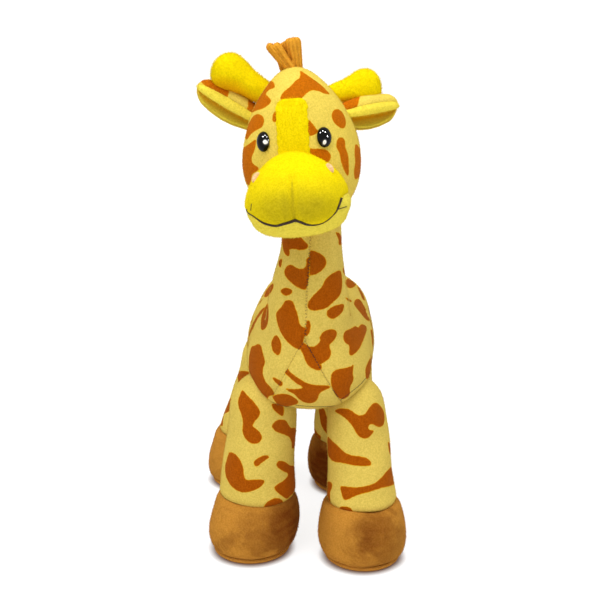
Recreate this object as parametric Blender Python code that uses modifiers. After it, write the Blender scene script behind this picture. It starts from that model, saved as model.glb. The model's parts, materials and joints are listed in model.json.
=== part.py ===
"""Plush giraffe that stands on four stuffed legs, about 37 cm tall. Metres, +Z up, facing -Y.

Every sewn panel group is a stuffed form of its own: a coarse cage of rings with one level of
subdivision. A smaller form is trimmed by the larger one that it is sewn to, with a seam gap between.
"Left" and "right" are the giraffe's own: its left is +X.
"""

import math

import bmesh
import bpy
from mathutils import Euler, Matrix, Vector

# Clearances
SEAM_GAP = 0.0003
HIP_CLEARANCE = 0.0008
NECK_CLEARANCE = 0.0006
EAR_CLEARANCE = 0.0009
TAIL_CLEARANCE = 0.0009
CUT_OVERRUN = 0.006

# Torso, lying along Y
TORSO_LENGTH = 0.198
TORSO_WIDTH = 0.0966
TORSO_HEIGHT = 0.084
TORSO_CHEST_Y = -0.101
TORSO_CENTRE_HEIGHT = 0.140
TORSO_TURN = math.radians(-2.0)
TORSO_SIDES = 12
TORSO_SQUARENESS_SHARE = 0.88

# Neck, upright in front of the torso, turned round its own axis where the head sits on it
NECK_X = 0.001
NECK_Y = -0.066
NECK_RADIUS = 0.0207
NECK_FOOT_HEIGHT = 0.140
NECK_TOP_HEIGHT = 0.270
NECK_SIDES = 12

# Head, built upright on its pivot, then leaned and turned
NECK_IN_HEAD = 0.034
HEAD_PIVOT_HEIGHT = NECK_TOP_HEIGHT - NECK_IN_HEAD
HEAD_LEAN = math.radians(5.0)
HEAD_TURN = math.radians(6.5)
HEAD_DROP = 0.004
HEAD_HEIGHT = 0.1135
HEAD_WIDTH = 0.0835
HEAD_DEPTH = 0.082
HEAD_SIDES = 12

# Muzzle and lower jaw, measured from the head's pivot
MUZZLE_BASE_HEIGHT = 0.0165
MUZZLE_HEIGHT = 0.0505
MUZZLE_WIDTH = 0.0725
MUZZLE_DEPTH = 0.070
MUZZLE_Y = -0.044
MUZZLE_SIDES = 12
JAW_BASE_HEIGHT = 0.0095
JAW_HEIGHT = 0.024
JAW_WIDTH = 0.0690
JAW_DEPTH = 0.055
JAW_Y = -0.042
JAW_SIDES = 12

# Safety eyes: a domed oval on a stem, held by a washer inside the head
EYE_WIDTH = 0.0104
EYE_HEIGHT = 0.0134
EYE_DOME = 0.0040
EYE_BACK_DEPTH = 0.0012
EYE_STEM_RADIUS = 0.0020
EYE_STEM_LENGTH = 0.0110
EYE_X = 0.0200
EYE_Y = -0.0338
EYE_Z = 0.0725
EYE_ASIDE = math.radians(35.0)
EYE_UPTURN = math.radians(12.0)
EYE_TILT = math.radians(8.0)
WASHER_RADIUS = 0.0062
WASHER_THICKNESS = 0.0016
WASHER_INSET = 0.0065

# Embroidered nostrils
NOSTRIL_WIDTH = 0.0060
NOSTRIL_HEIGHT = 0.0084
NOSTRIL_BULGE = 0.0022
NOSTRIL_X = 0.0256
NOSTRIL_Y = -0.0492
NOSTRIL_Z = 0.0512
NOSTRIL_ASIDE = math.radians(52.0)

# Plain yellow panel let into the forehead, measured from the head's pivot
BLAZE_HALF_WIDTH = 0.0107
BLAZE_BOTTOM_Z = 0.0560
BLAZE_TOP_Z = 0.0997
BLAZE_SHOULDER = 0.0090
BLAZE_THICKNESS = 0.0016
BLAZE_FRONT_Y = -0.0600
BLAZE_ARC_STEPS = 10

# Horns, which are short stuffed stalks with a bulb
HORN_LENGTH = 0.0465
HORN_BULB_RADIUS = 0.0128
HORN_ROOT_X = 0.0165
HORN_ROOT_Z = {"left": 0.0958, "right": 0.0978}
HORN_SIDES = 8
HORN_ROOT_Y = {"left": 0.0090, "right": 0.0050}
HORN_RAISE = {"left": math.radians(6.0), "right": math.radians(34.0)}
HORN_SWEEP = {"left": math.radians(28.0), "right": math.radians(0.0)}

# Ears, two layers of plush each
EAR_LENGTH = 0.0500
EAR_WIDTH = 0.0270
EAR_ROOT_X = 0.0270
EAR_ROOT_Y = 0.0060
EAR_ROOT_Z = 0.0815
EAR_LAYER = 0.0017
EAR_CURL = math.radians(62.0)
EAR_SPINE_TILT = math.radians(25.0)
EAR_RAISE = {"left": math.radians(7.0), "right": math.radians(34.0)}
EAR_SWEEP = {"left": math.radians(30.0), "right": math.radians(6.0)}
EAR_INSET = {"left": 0.0078, "right": 0.0072}
EAR_HINGE_FORWARD = 0.0038
EAR_STEPS_LONG = 6
EAR_STEPS_WIDE = 6

# Mane: a folded tuft on the crown and a ridge down the back of the head and the neck
TUFT_HEIGHT = 0.0300
TUFT_ROOT = (-0.0012, 0.0050, 0.1065)
TUFT_SIDES = 8

# The tuft's folds: root across and back, width, depth, share of the height, lean sideways
TUFT_FOLDS = (
    (0.0048, -0.0022, 0.0110, 0.0122, 1.12, math.radians(-35.0)),
    (0.0046, 0.0020, 0.0110, 0.0080, 1.00, math.radians(-19.0)),
    (0.0040, -0.0005, 0.0130, 0.0116, 1.08, math.radians(-6.0)),
    (-0.0050, 0.0060, 0.0100, 0.0110, 0.66, math.radians(-8.0)),
)

# Mane
MANE_WIDTH = 0.0080
MANE_RISE = 0.0070
MANE_ROOT_DEPTH = 0.0040
MANE_SIDES = 8

# Legs, hooves and soles
HIP_RADIUS = 0.0238
HIP_HEIGHT = 0.1125
HIP_SWING = math.radians(14.0)
ANKLE_RADIUS = 0.0283
HOOF_SEAM_HEIGHT = 0.0425
HOOF_WIDTH = 0.0665
HOOF_LENGTH = 0.0740
SOLE_THICKNESS = 0.0035
LEG_SIDES = 10
HIP_BALL_ANGLES = (math.radians(60.0), math.radians(30.0), 0.0)

# Faces round the eyes' domes and stems
DOME_SIDES = 16
DOME_RINGS = 10
ROD_SIDES = 16

TOE_FORWARD = 0.0034

# Where each leg's hip, ankle and foot stand, and how far the toe turns out
LEG_PLACES = {
    "front_right": ((-0.0312, -0.0600), (-0.0370, -0.0570), (-0.0392, -0.0570), math.radians(8.0)),
    "front_left": ((0.0352, -0.0620), (0.0402, -0.0700), (0.0400, -0.0700), math.radians(8.0)),
    "rear_right": ((-0.0298, 0.0560), (-0.0468, 0.0780), (-0.0474, 0.0780), math.radians(38.0)),
    "rear_left": ((0.0298, 0.0520), (0.0340, 0.0650), (0.0338, 0.0650), math.radians(30.0)),
}

# How full each leg and hoof is stuffed
LEG_FULLNESS_SHARES = {"front_right": 1.03, "front_left": 0.92, "rear_right": 0.96, "rear_left": 0.96}
HOOF_FULLNESS_SHARES = {"front_right": 1.03, "front_left": 1.00, "rear_right": 1.00, "rear_left": 1.00}

# Tail, hanging from the rump
TAIL_ROOT_Y = 0.0950
TAIL_ROOT_HEIGHT = 0.1600
TAIL_RADIUS = 0.0058
TAIL_LENGTH = 0.0560
TAIL_SLANT = math.radians(18.0)
TAIL_TUFT_LENGTH = 0.0300
TAIL_TUFT_RADIUS = 0.0095
TAIL_SIDES = 8
TAIL_BALL_ANGLES = (math.radians(50.0), 0.0)
TAIL_STALK_SHARES = (0.5, 1.0)

# Rows of shares: along, offset towards the back, half width, front, back.
# The first and last rows are the closed tips. On the torso, front is its top and back its underside.
TORSO_SHARES = (
    (0.00, 0.00, 0.00, 0.00, 0.00),
    (0.02, 0.00, 0.40, 0.60, 0.34),
    (0.08, 0.00, 0.74, 0.98, 0.58),
    (0.18, 0.00, 0.91, 1.08, 0.70),
    (0.33, 0.00, 0.97, 1.08, 0.76),
    (0.50, 0.00, 0.99, 1.14, 0.79),
    (0.68, 0.00, 1.00, 1.20, 0.81),
    (0.82, 0.00, 0.97, 1.14, 0.80),
    (0.92, 0.00, 0.80, 0.90, 0.66),
    (0.98, 0.00, 0.44, 0.50, 0.38),
    (1.00, 0.00, 0.00, 0.00, 0.00),
)
NECK_SHARES = (
    (0.00, 0.00, 0.00, 0.00, 0.00),
    (0.08, 0.00, 1.45, 1.38, 1.30),
    (0.26, 0.00, 1.54, 1.50, 1.55),
    (0.42, 0.00, 1.34, 1.31, 1.40),
    (0.58, 0.00, 1.14, 1.12, 1.16),
    (0.70, 0.00, 1.00, 1.00, 1.00),
    (0.84, 0.00, 1.00, 1.00, 1.00),
    (0.93, 0.00, 0.86, 0.86, 0.86),
    (0.985, 0.00, 0.50, 0.50, 0.50),
    (1.00, 0.00, 0.00, 0.00, 0.00),
)
HEAD_SHARES = (
    (0.00, 0.00, 0.00, 0.00, 0.00),
    (0.04, 0.00, 0.36, 0.34, 0.42),
    (0.13, 0.00, 0.66, 0.64, 0.70),
    (0.26, 0.00, 0.90, 0.88, 0.93),
    (0.41, 0.00, 1.00, 1.00, 1.02),
    (0.54, 0.00, 0.97, 1.00, 1.00),
    (0.68, 0.00, 0.86, 0.94, 0.91),
    (0.80, 0.00, 0.695, 0.81, 0.77),
    (0.90, 0.00, 0.48, 0.60, 0.57),
    (0.97, 0.00, 0.25, 0.32, 0.31),
    (1.00, 0.00, 0.00, 0.00, 0.00),
)
MUZZLE_SHARES = (
    (0.00, 0.00, 0.00, 0.00, 0.00),
    (0.05, 0.00, 0.68, 0.64, 0.60),
    (0.14, 0.00, 0.94, 0.90, 0.80),
    (0.29, 0.00, 1.00, 0.97, 0.90),
    (0.47, 0.00, 0.95, 0.94, 0.90),
    (0.65, 0.00, 0.82, 0.80, 0.85),
    (0.81, 0.00, 0.61, 0.54, 0.70),
    (0.94, 0.00, 0.34, 0.23, 0.45),
    (1.00, 0.00, 0.00, 0.00, 0.00),
)
JAW_SHARES = (
    (0.00, 0.00, 0.00, 0.00, 0.00),
    (0.07, 0.00, 0.58, 0.57, 0.45),
    (0.27, 0.00, 0.86, 0.88, 0.62),
    (0.55, 0.00, 0.98, 0.99, 0.70),
    (0.85, 0.00, 0.80, 0.80, 0.60),
    (1.00, 0.00, 0.00, 0.00, 0.00),
)
HORN_SHARES = (
    (0.00, 0.00, 0.00, 0.00, 0.00),
    (0.05, 0.00, 0.72, 0.72, 0.72),
    (0.34, 0.00, 0.75, 0.75, 0.75),
    (0.50, 0.00, 0.82, 0.82, 0.82),
    (0.66, 0.00, 0.97, 0.97, 0.97),
    (0.82, 0.00, 1.00, 1.00, 1.00),
    (0.94, 0.00, 0.72, 0.72, 0.72),
    (1.00, 0.00, 0.00, 0.00, 0.00),
)
TUFT_SHARES = (
    (0.00, 0.00, 0.00, 0.00, 0.00),
    (0.03, 0.00, 0.62, 0.62, 0.62),
    (0.45, 0.00, 0.82, 0.80, 0.80),
    (0.80, 0.00, 1.00, 1.00, 1.00),
    (0.96, 0.00, 0.74, 0.78, 0.78),
    (1.00, 0.00, 0.00, 0.00, 0.00),
)
TAIL_TUFT_SHARES = (
    (0.00, 0.00, 0.00, 0.00, 0.00),
    (0.10, 0.00, 0.66, 0.66, 0.66),
    (0.40, 0.00, 1.00, 1.00, 1.00),
    (0.75, 0.00, 0.72, 0.72, 0.72),
    (0.95, 0.00, 0.30, 0.30, 0.30),
    (1.00, 0.00, 0.00, 0.00, 0.00),
)

# A leg's shaft: share of its length, share of its swelling.
# A hoof and a sole: height, width, length, and how far it goes from the ankle to the foot.
SHAFT_SHARES = ((0.16, 0.01), (0.42, 0.20), (0.72, 0.62), (1.00, 1.00))
HOOF_SHARES = (
    (1.00, 0.855, 0.765, 0.00),
    (0.80, 0.93, 0.87, 0.10),
    (0.52, 1.00, 0.97, 0.35),
    (0.26, 1.01, 0.98, 0.70),
    (0.09, 0.95, 0.93, 0.95),
    (0.00, 0.87, 0.86, 1.00),
)
SOLE_SHARES = ((1.00, 0.855, 0.835, 1.00), (0.45, 0.865, 0.845, 1.00), (0.00, 0.79, 0.78, 1.00))
EAR_WIDTH_SHARES = (0.46, 0.72, 0.92, 1.00, 0.90, 0.66, 0.26)
MANE_HEAD_SHARES = (0.90, 0.80, 0.66, 0.52, 0.38, 0.26, 0.17)
MANE_NECK_SHARES = (0.76, 0.66, 0.56, 0.46, 0.38)

COLOURS = {
    "printed_plush": (0.68, 0.47, 0.07),
    "yellow_plush": (0.93, 0.78, 0.02),
    "pale_plush": (0.66, 0.53, 0.06),
    "brown_plush": (0.31, 0.12, 0.02),
    "mane_plush": (0.48, 0.20, 0.03),
    "nostril_thread": (0.80, 0.42, 0.22),
    "eye_plastic": (0.01, 0.008, 0.008),
    "washer_plastic": (0.70, 0.70, 0.68),
}
ROUGHNESS = {"eye_plastic": 0.06, "washer_plastic": 0.5}
PLUSH_ROUGHNESS = 0.95

UPRIGHT = Matrix.Identity(3)
LYING = Matrix(((1, 0, 0), (0, 0, 1), (0, -1, 0)))
SIDES = (("left", 1), ("right", -1))


def clear_scene():
    for old in list(bpy.data.objects):
        bpy.data.objects.remove(old, do_unlink=True)


def new_collection(name):
    made = bpy.data.collections.new(name)
    bpy.context.scene.collection.children.link(made)
    return made


def new_material(slot):
    made = bpy.data.materials.new(slot)
    made.use_nodes = True
    shader = made.node_tree.nodes["Principled BSDF"]
    shader.inputs["Base Color"].default_value = (*COLOURS[slot], 1)
    shader.inputs["Roughness"].default_value = ROUGHNESS.get(slot, PLUSH_ROUGHNESS)
    shader.inputs["Metallic"].default_value = 0
    return made


def add_empty(name, place, parent=None, turn=(0, 0, 0)):
    """An empty on a joint's axis, or the one that carries the whole giraffe."""
    empty = bpy.data.objects.new(name, None)
    PARTS.objects.link(empty)
    empty.location = place
    empty.rotation_euler = turn
    empty.parent = parent
    return empty


def add_object(name, mesh, slot, parent, place=(0, 0, 0), turn=(0, 0, 0)):
    """A sub-part where slot names its material, or a cutter where slot is None."""
    made = bpy.data.objects.new(name, mesh)
    made.parent = parent
    made.location = place
    made.rotation_euler = turn
    if slot is None:
        CUTTERS.objects.link(made)
        made.hide_render = True
        made.display_type = "WIRE"
    else:
        PARTS.objects.link(made)
        mesh.materials.append(MATERIALS[slot])
    mesh.shade_smooth()
    return made


def soften(made, levels=1):
    """One level of subdivision over a coarse cage."""
    modifier = made.modifiers.new("soften", "SUBSURF")
    modifier.levels = levels
    modifier.render_levels = levels
    return made


def trim(made, *cutters):
    """Takes each cutter out of a piece."""
    for cutter in cutters:
        modifier = made.modifiers.new("trim " + cutter.name, "BOOLEAN")
        modifier.operation = "DIFFERENCE"
        modifier.solver = "EXACT"
        modifier.object = cutter
    return made


def join(made, *others):
    for other in others:
        modifier = made.modifiers.new("join " + other.name, "BOOLEAN")
        modifier.operation = "UNION"
        modifier.solver = "EXACT"
        modifier.object = other
    return made


def ring(axes, centre, half_width, front, back, sides, squareness=1.0):
    """Points round one oval section, widened so that the softened form keeps the stated size."""
    fullness = 1 / math.cos(math.pi / sides)
    points = []
    for k in range(sides):
        angle = 2 * math.pi * k / sides
        across = math.copysign(abs(math.cos(angle)) ** squareness, math.cos(angle))
        deep = math.copysign(abs(math.sin(angle)) ** squareness, math.sin(angle))
        depth = back if deep > 0 else front
        local = Vector((half_width * across, depth * deep, 0)) * fullness
        points.append(Vector(centre) + axes @ local)
    return points


def cage(name, rings, first_tip=None, last_tip=None):
    """A closed cage through rings of points. An end with no tip is flat, with a creased rim."""
    bm = bmesh.new()
    crease = bm.edges.layers.float.new("crease_edge")
    loops = [[bm.verts.new(point) for point in points] for points in rings]
    count = len(loops[0])
    for lower, upper in zip(loops, loops[1:]):
        for k in range(count):
            after = (k + 1) % count
            bm.faces.new((lower[k], lower[after], upper[after], upper[k]))
    for loop, tip in ((loops[0], first_tip), (loops[-1], last_tip)):
        if tip is None:
            for edge in bm.faces.new(loop).edges:
                edge[crease] = 1
        else:
            end = bm.verts.new(tip)
            for k in range(count):
                bm.faces.new((loop[k], loop[(k + 1) % count], end))
    bmesh.ops.recalc_face_normals(bm, faces=bm.faces)
    mesh = bpy.data.meshes.new(name)
    bm.to_mesh(mesh)
    bm.free()
    return mesh


def stuffed(name, shares, width, depth, length, sides, axes=UPRIGHT, grow=0.0, squareness=1.0):
    """A stuffed form with rounded ends, from rows of shares of its width, depth and length."""

    def centre(row):
        return axes @ Vector((0, row[1] * depth / 2, row[0] * length))

    rings = []
    for row in shares[1:-1]:
        half_width = row[2] * width / 2 + grow
        front = row[3] * depth / 2 + grow
        back = row[4] * depth / 2 + grow
        rings.append(ring(axes, centre(row), half_width, front, back, sides, squareness))
    along = axes @ Vector((0, 0, grow))
    return cage(name, rings, centre(shares[0]) - along, centre(shares[-1]) + along)


def oval(name, width, thickness, height, back_depth, grow=0.0):
    """A domed oval button: its dome faces -Y, and its back half is flatter."""
    bm = bmesh.new()
    bmesh.ops.create_uvsphere(bm, u_segments=DOME_SIDES, v_segments=DOME_RINGS, radius=1)
    for vert in bm.verts:
        depth = thickness if vert.co.y < 0 else back_depth
        vert.co.x *= width / 2 + grow
        vert.co.y *= depth + grow
        vert.co.z *= height / 2 + grow
    mesh = bpy.data.meshes.new(name)
    bm.to_mesh(mesh)
    bm.free()
    return mesh


def rod(name, radius, start, end):
    """A round rod along Y, from start to end."""
    bm = bmesh.new()
    bmesh.ops.create_cone(
        bm, cap_ends=True, segments=ROD_SIDES, radius1=radius, radius2=radius, depth=end - start
    )
    bmesh.ops.rotate(bm, verts=bm.verts, matrix=Matrix.Rotation(math.pi / 2, 3, "X"))
    bmesh.ops.translate(bm, verts=bm.verts, vec=(0, (start + end) / 2, 0))
    mesh = bpy.data.meshes.new(name)
    bm.to_mesh(mesh)
    bm.free()
    return mesh


def make_torso_form(name, slot, grow=0.0):
    size = (TORSO_WIDTH, TORSO_HEIGHT, TORSO_LENGTH)
    mesh = stuffed(name, TORSO_SHARES, *size, TORSO_SIDES, LYING, grow, TORSO_SQUARENESS_SHARE)
    place = (0, TORSO_CHEST_Y, TORSO_CENTRE_HEIGHT)
    return soften(add_object(name, mesh, slot, ROOT, place, (0, 0, TORSO_TURN)))


def make_neck_form(name, slot, grow=0.0):
    length = NECK_TOP_HEIGHT - NECK_FOOT_HEIGHT
    mesh = stuffed(
        name, NECK_SHARES, 2 * NECK_RADIUS, 2 * NECK_RADIUS, length, NECK_SIDES, UPRIGHT, grow
    )
    return soften(add_object(name, mesh, slot, ROOT, (NECK_X, NECK_Y, NECK_FOOT_HEIGHT)))


def make_head_form(name, slot, grow=0.0):
    mesh = stuffed(
        name, HEAD_SHARES, HEAD_WIDTH, HEAD_DEPTH, HEAD_HEIGHT, HEAD_SIDES, UPRIGHT, grow
    )
    return soften(add_object(name, mesh, slot, HEAD_PIVOT, (0, 0, HEAD_DROP)))


def make_muzzle_form(name, slot, grow=0.0):
    mesh = stuffed(
        name, MUZZLE_SHARES, MUZZLE_WIDTH, MUZZLE_DEPTH, MUZZLE_HEIGHT, MUZZLE_SIDES, UPRIGHT, grow
    )
    place = (0, MUZZLE_Y, MUZZLE_BASE_HEIGHT)
    return soften(add_object(name, mesh, slot, HEAD_PIVOT, place))


def leg_rings(hip, ankle, fullness, end_height, grow, flare):
    """Rings of a leg from the ball at the hip down to its hoof seam, round the hip's own place."""
    rings = []
    ball = HIP_RADIUS * fullness + grow
    for angle in HIP_BALL_ANGLES:
        radius = ball * math.cos(angle)
        rings.append(ring(UPRIGHT, (0, 0, ball * math.sin(angle)), radius, radius, radius, LEG_SIDES))
    down = Vector((ankle[0] - hip[0], ankle[1] - hip[1], end_height - HIP_HEIGHT))
    for along, swell in SHAFT_SHARES:
        radius = (HIP_RADIUS + (ANKLE_RADIUS - HIP_RADIUS) * swell) * fullness + grow
        sway = flare * along * down.length
        rings.append(ring(UPRIGHT, down * along, radius, radius + sway, radius + sway, LEG_SIDES))
    return rings


def make_leg(place_name, hip, ankle, foot, toe_out):
    """One leg, its hoof and its sole, hung from an empty at the hip."""
    pivot = add_empty("hip_" + place_name, (*hip, HIP_HEIGHT), ROOT)
    end_height = HOOF_SEAM_HEIGHT + SEAM_GAP
    node = place_name.replace("_", "_leg_")
    fullness = LEG_FULLNESS_SHARES[place_name]
    ball = HIP_RADIUS * fullness
    rings = leg_rings(hip, ankle, fullness, end_height, 0.0, 0.0)
    soften(add_object(node, cage(node, rings, first_tip=(0, 0, ball)), "printed_plush", pivot))
    cutter_rings = leg_rings(hip, ankle, fullness, end_height, HIP_CLEARANCE, math.sin(HIP_SWING))
    cutter_name = "cut_" + node
    cutter_mesh = cage(cutter_name, cutter_rings, first_tip=(0, 0, ball + HIP_CLEARANCE))
    cutter = soften(add_object(cutter_name, cutter_mesh, None, pivot))
    axes = Matrix.Rotation(math.copysign(toe_out, hip[0]), 3, "Z")
    ends = (Vector((*ankle, 0)), Vector((*foot, 0)), Vector((*hip, HIP_HEIGHT)))
    bottom = SOLE_THICKNESS + SEAM_GAP
    size = HOOF_FULLNESS_SHARES[place_name]
    make_foot_piece(pivot, "hoof_" + place_name, HOOF_SHARES, axes, ends, size, bottom, HOOF_SEAM_HEIGHT)
    make_foot_piece(pivot, "sole_" + place_name, SOLE_SHARES, axes, ends, size, 0.0, SOLE_THICKNESS)
    return cutter


def make_foot_piece(pivot, name, shares, axes, ends, size, bottom, top):
    """A hoof or a sole, with flat faces at its bottom and top heights."""
    ankle, foot, hip = ends
    rings = []
    for up, wide, long, forward in shares:
        centre = ankle.lerp(foot, forward) - hip
        centre += axes @ Vector((0, -TOE_FORWARD * forward, 0))
        centre += Vector((0, 0, bottom + (top - bottom) * up))
        half_width = wide * HOOF_WIDTH / 2 * size
        half_length = long * HOOF_LENGTH / 2 * size
        rings.append(ring(axes, centre, half_width, half_length, half_length, LEG_SIDES))
    return soften(add_object(name, cage(name, rings), "brown_plush", pivot))


def make_tail():
    """The tail's stalk with a ball at its root, and the tuft at its end."""
    place = (0, TAIL_ROOT_Y, TAIL_ROOT_HEIGHT)
    pivot = add_empty("tail_root", place, ROOT, (TAIL_SLANT, 0, 0))
    cutter = None
    for name, slot, grow in (("tail", "printed_plush", 0.0), ("cut_tail", None, TAIL_CLEARANCE)):
        radius = TAIL_RADIUS + grow
        rings = []
        for angle in TAIL_BALL_ANGLES:
            height = radius * math.sin(angle)
            wide = radius * math.cos(angle)
            rings.append(ring(UPRIGHT, (0, 0, height), wide, wide, wide, TAIL_SIDES))
        for along in TAIL_STALK_SHARES:
            centre = (0, 0, -TAIL_LENGTH * along)
            rings.append(ring(UPRIGHT, centre, radius, radius, radius, TAIL_SIDES))
        made = soften(add_object(name, cage(name, rings, first_tip=(0, 0, radius)), slot, pivot))
        if slot is None:
            cutter = made
    size = 2 * TAIL_TUFT_RADIUS
    mesh = stuffed("tail_tuft", TAIL_TUFT_SHARES, size, size, TAIL_TUFT_LENGTH, TAIL_SIDES)
    tuft_place = (0, 0, -TAIL_LENGTH - SEAM_GAP - TAIL_TUFT_LENGTH)
    soften(add_object("tail_tuft", mesh, "mane_plush", pivot, tuft_place))
    return cutter


def make_eye(side, sign):
    """A safety eye and its washer. Returns the cutters for the head."""
    place = (sign * EYE_X, EYE_Y, EYE_Z)
    turn = (-EYE_UPTURN, sign * EYE_TILT, sign * EYE_ASIDE)
    name = "eye_" + side
    dome = oval(name, EYE_WIDTH, EYE_DOME, EYE_HEIGHT, EYE_BACK_DEPTH)
    eye = add_object(name, dome, "eye_plastic", HEAD_PIVOT, place, turn)
    stem_mesh = rod(name + "_stem", EYE_STEM_RADIUS, 0.0, EYE_STEM_LENGTH)
    stem = add_object(name + "_stem", stem_mesh, None, HEAD_PIVOT, place, turn)
    join(eye, stem)
    washer_name = "eye_washer_" + side
    back = WASHER_INSET + WASHER_THICKNESS
    disc = rod(washer_name, WASHER_RADIUS, WASHER_INSET, back)
    washer = add_object(washer_name, disc, "washer_plastic", HEAD_PIVOT, place, turn)
    hole_mesh = rod(
        "bore_" + side, EYE_STEM_RADIUS + SEAM_GAP, -CUT_OVERRUN, EYE_STEM_LENGTH + SEAM_GAP
    )
    hole = add_object("bore_" + side, hole_mesh, None, HEAD_PIVOT, place, turn)
    trim(washer, hole)
    seat_mesh = oval("seat_" + side, EYE_WIDTH, EYE_DOME, EYE_HEIGHT, EYE_BACK_DEPTH, SEAM_GAP)
    seat = add_object("seat_" + side, seat_mesh, None, HEAD_PIVOT, place, turn)
    pocket_mesh = rod(
        "pocket_" + side, WASHER_RADIUS + SEAM_GAP, WASHER_INSET - SEAM_GAP, back + SEAM_GAP
    )
    pocket = add_object("pocket_" + side, pocket_mesh, None, HEAD_PIVOT, place, turn)
    return seat, hole, pocket


def make_nostril(side, sign, cutters):
    name = "nostril_" + side
    mesh = oval(name, NOSTRIL_WIDTH, NOSTRIL_BULGE, NOSTRIL_HEIGHT, NOSTRIL_BULGE)
    place = (sign * NOSTRIL_X, NOSTRIL_Y, NOSTRIL_Z)
    made = add_object(
        name, mesh, "nostril_thread", HEAD_PIVOT, place, (0, 0, sign * NOSTRIL_ASIDE)
    )
    trim(made, *cutters)


def make_horn(side, sign, cutter):
    name = "horn_" + side
    size = 2 * HORN_BULB_RADIUS
    mesh = stuffed(name, HORN_SHARES, size, size, HORN_LENGTH, HORN_SIDES)
    place = (sign * HORN_ROOT_X, HORN_ROOT_Y[side], HORN_ROOT_Z[side])
    turn = (0, sign * (math.pi / 2 - HORN_RAISE[side]), sign * HORN_SWEEP[side])
    made = soften(add_object(name, mesh, "yellow_plush", HEAD_PIVOT, place, turn))
    trim(made, cutter)


def ear_layer(name, side, sign, lift):
    """One curled leaf of plush, round its hinge: its spine runs outwards, its edges curl forward."""
    bm = bmesh.new()
    bmesh.ops.create_grid(
        bm, x_segments=EAR_STEPS_LONG, y_segments=EAR_STEPS_WIDE, size=1
    )
    for vert in bm.verts:
        along = (vert.co.x + 1) / 2
        step = along * (len(EAR_WIDTH_SHARES) - 1)
        low = min(int(step), len(EAR_WIDTH_SHARES) - 2)
        share = EAR_WIDTH_SHARES[low]
        share += (EAR_WIDTH_SHARES[low + 1] - share) * (step - low)
        angle = vert.co.y * EAR_CURL
        radius = share * EAR_WIDTH / 2 / math.sin(EAR_CURL)
        across = (radius - lift) * math.sin(angle)
        forward = (radius - lift) * math.cos(angle) - radius
        vert.co = Vector(
            (sign * (along * EAR_LENGTH - EAR_INSET[side]), forward + EAR_HINGE_FORWARD, across)
        )
    if sign < 0:
        bmesh.ops.reverse_faces(bm, faces=bm.faces)
    mesh = bpy.data.meshes.new(name)
    bm.to_mesh(mesh)
    bm.free()
    return mesh


def make_ear(side, sign, cutter):
    """Printed back and yellow lining of an ear, hinged where it leaves the head."""
    turn = Euler((EAR_SPINE_TILT, -sign * EAR_RAISE[side], sign * EAR_SWEEP[side]))
    out = turn.to_matrix() @ Vector((sign * EAR_INSET[side], -EAR_HINGE_FORWARD, 0))
    place = Vector((sign * EAR_ROOT_X, EAR_ROOT_Y, EAR_ROOT_Z)) + out
    root = add_empty("ear_root_" + side, place, HEAD_PIVOT, turn)
    layers = (
        ("ear_back_" + side, "printed_plush", 0.0),
        ("ear_lining_" + side, "yellow_plush", EAR_LAYER + SEAM_GAP),
    )
    for name, slot, lift in layers:
        mesh = ear_layer(name, side, sign, lift)
        made = add_object(name, mesh, slot, root)
        shell = made.modifiers.new("thickness", "SOLIDIFY")
        shell.thickness = EAR_LAYER
        shell.offset = 1
        trim(made, cutter)


def make_tuft(cutter):
    """A folded strip of plush that stands on the crown: its folds join where they are sewn in."""
    pieces = []
    for k, (across, back, width, depth, tall, lean) in enumerate(TUFT_FOLDS):
        name = "tuft_fold_" + str(k) if k else "mane_tuft"
        mesh = stuffed(name, TUFT_SHARES, width, depth, TUFT_HEIGHT * tall, TUFT_SIDES)
        place = Vector(TUFT_ROOT) + Vector((across, back, 0))
        slot = None if k else "mane_plush"
        pieces.append(soften(add_object(name, mesh, slot, HEAD_PIVOT, place, (0, lean, 0))))
    join(pieces[0], *pieces[1:])
    trim(pieces[0], cutter)


def blaze_prism(name, grow):
    """A prism along Y with the forehead panel's outline, which is straight with a round top."""
    half = BLAZE_HALF_WIDTH + grow
    bottom = BLAZE_BOTTOM_Z - grow
    outline = [(half, bottom), (-half, bottom)]
    shoulder_z = BLAZE_TOP_Z - BLAZE_SHOULDER
    for k in range(BLAZE_ARC_STEPS + 1):
        angle = math.pi * k / BLAZE_ARC_STEPS
        outline.append((-half * math.cos(angle), shoulder_z + (BLAZE_SHOULDER + grow) * math.sin(angle)))
    rings = [[Vector((x, y, z)) for x, z in outline] for y in (BLAZE_FRONT_Y, 0.0)]
    prism = add_object(name, cage(name, rings), None, HEAD_PIVOT)
    return prism


def make_blaze(head):
    """The forehead panel, flush with the head in a pocket of its own."""
    blaze = make_head_form("forehead_blaze", "yellow_plush")
    shape = blaze.modifiers.new("outline", "BOOLEAN")
    shape.operation = "INTERSECT"
    shape.solver = "EXACT"
    shape.object = blaze_prism("cut_blaze", 0.0)
    trim(blaze, make_head_form("cut_blaze_core", None, -BLAZE_THICKNESS))
    pocket = blaze_prism("blaze_pocket", SEAM_GAP)
    trim(pocket, make_head_form("cut_pocket_core", None, -BLAZE_THICKNESS - SEAM_GAP))
    trim(head, pocket)


def surface_back(shares, share, depth, length):
    """How far back a form's surface lies at a share of its length, and its height there."""
    for low, high in zip(shares, shares[1:]):
        if low[0] <= share <= high[0]:
            part = (share - low[0]) / (high[0] - low[0])
            return (low[4] + (high[4] - low[4]) * part) * depth / 2, share * length
    return 0.0, share * length


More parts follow.
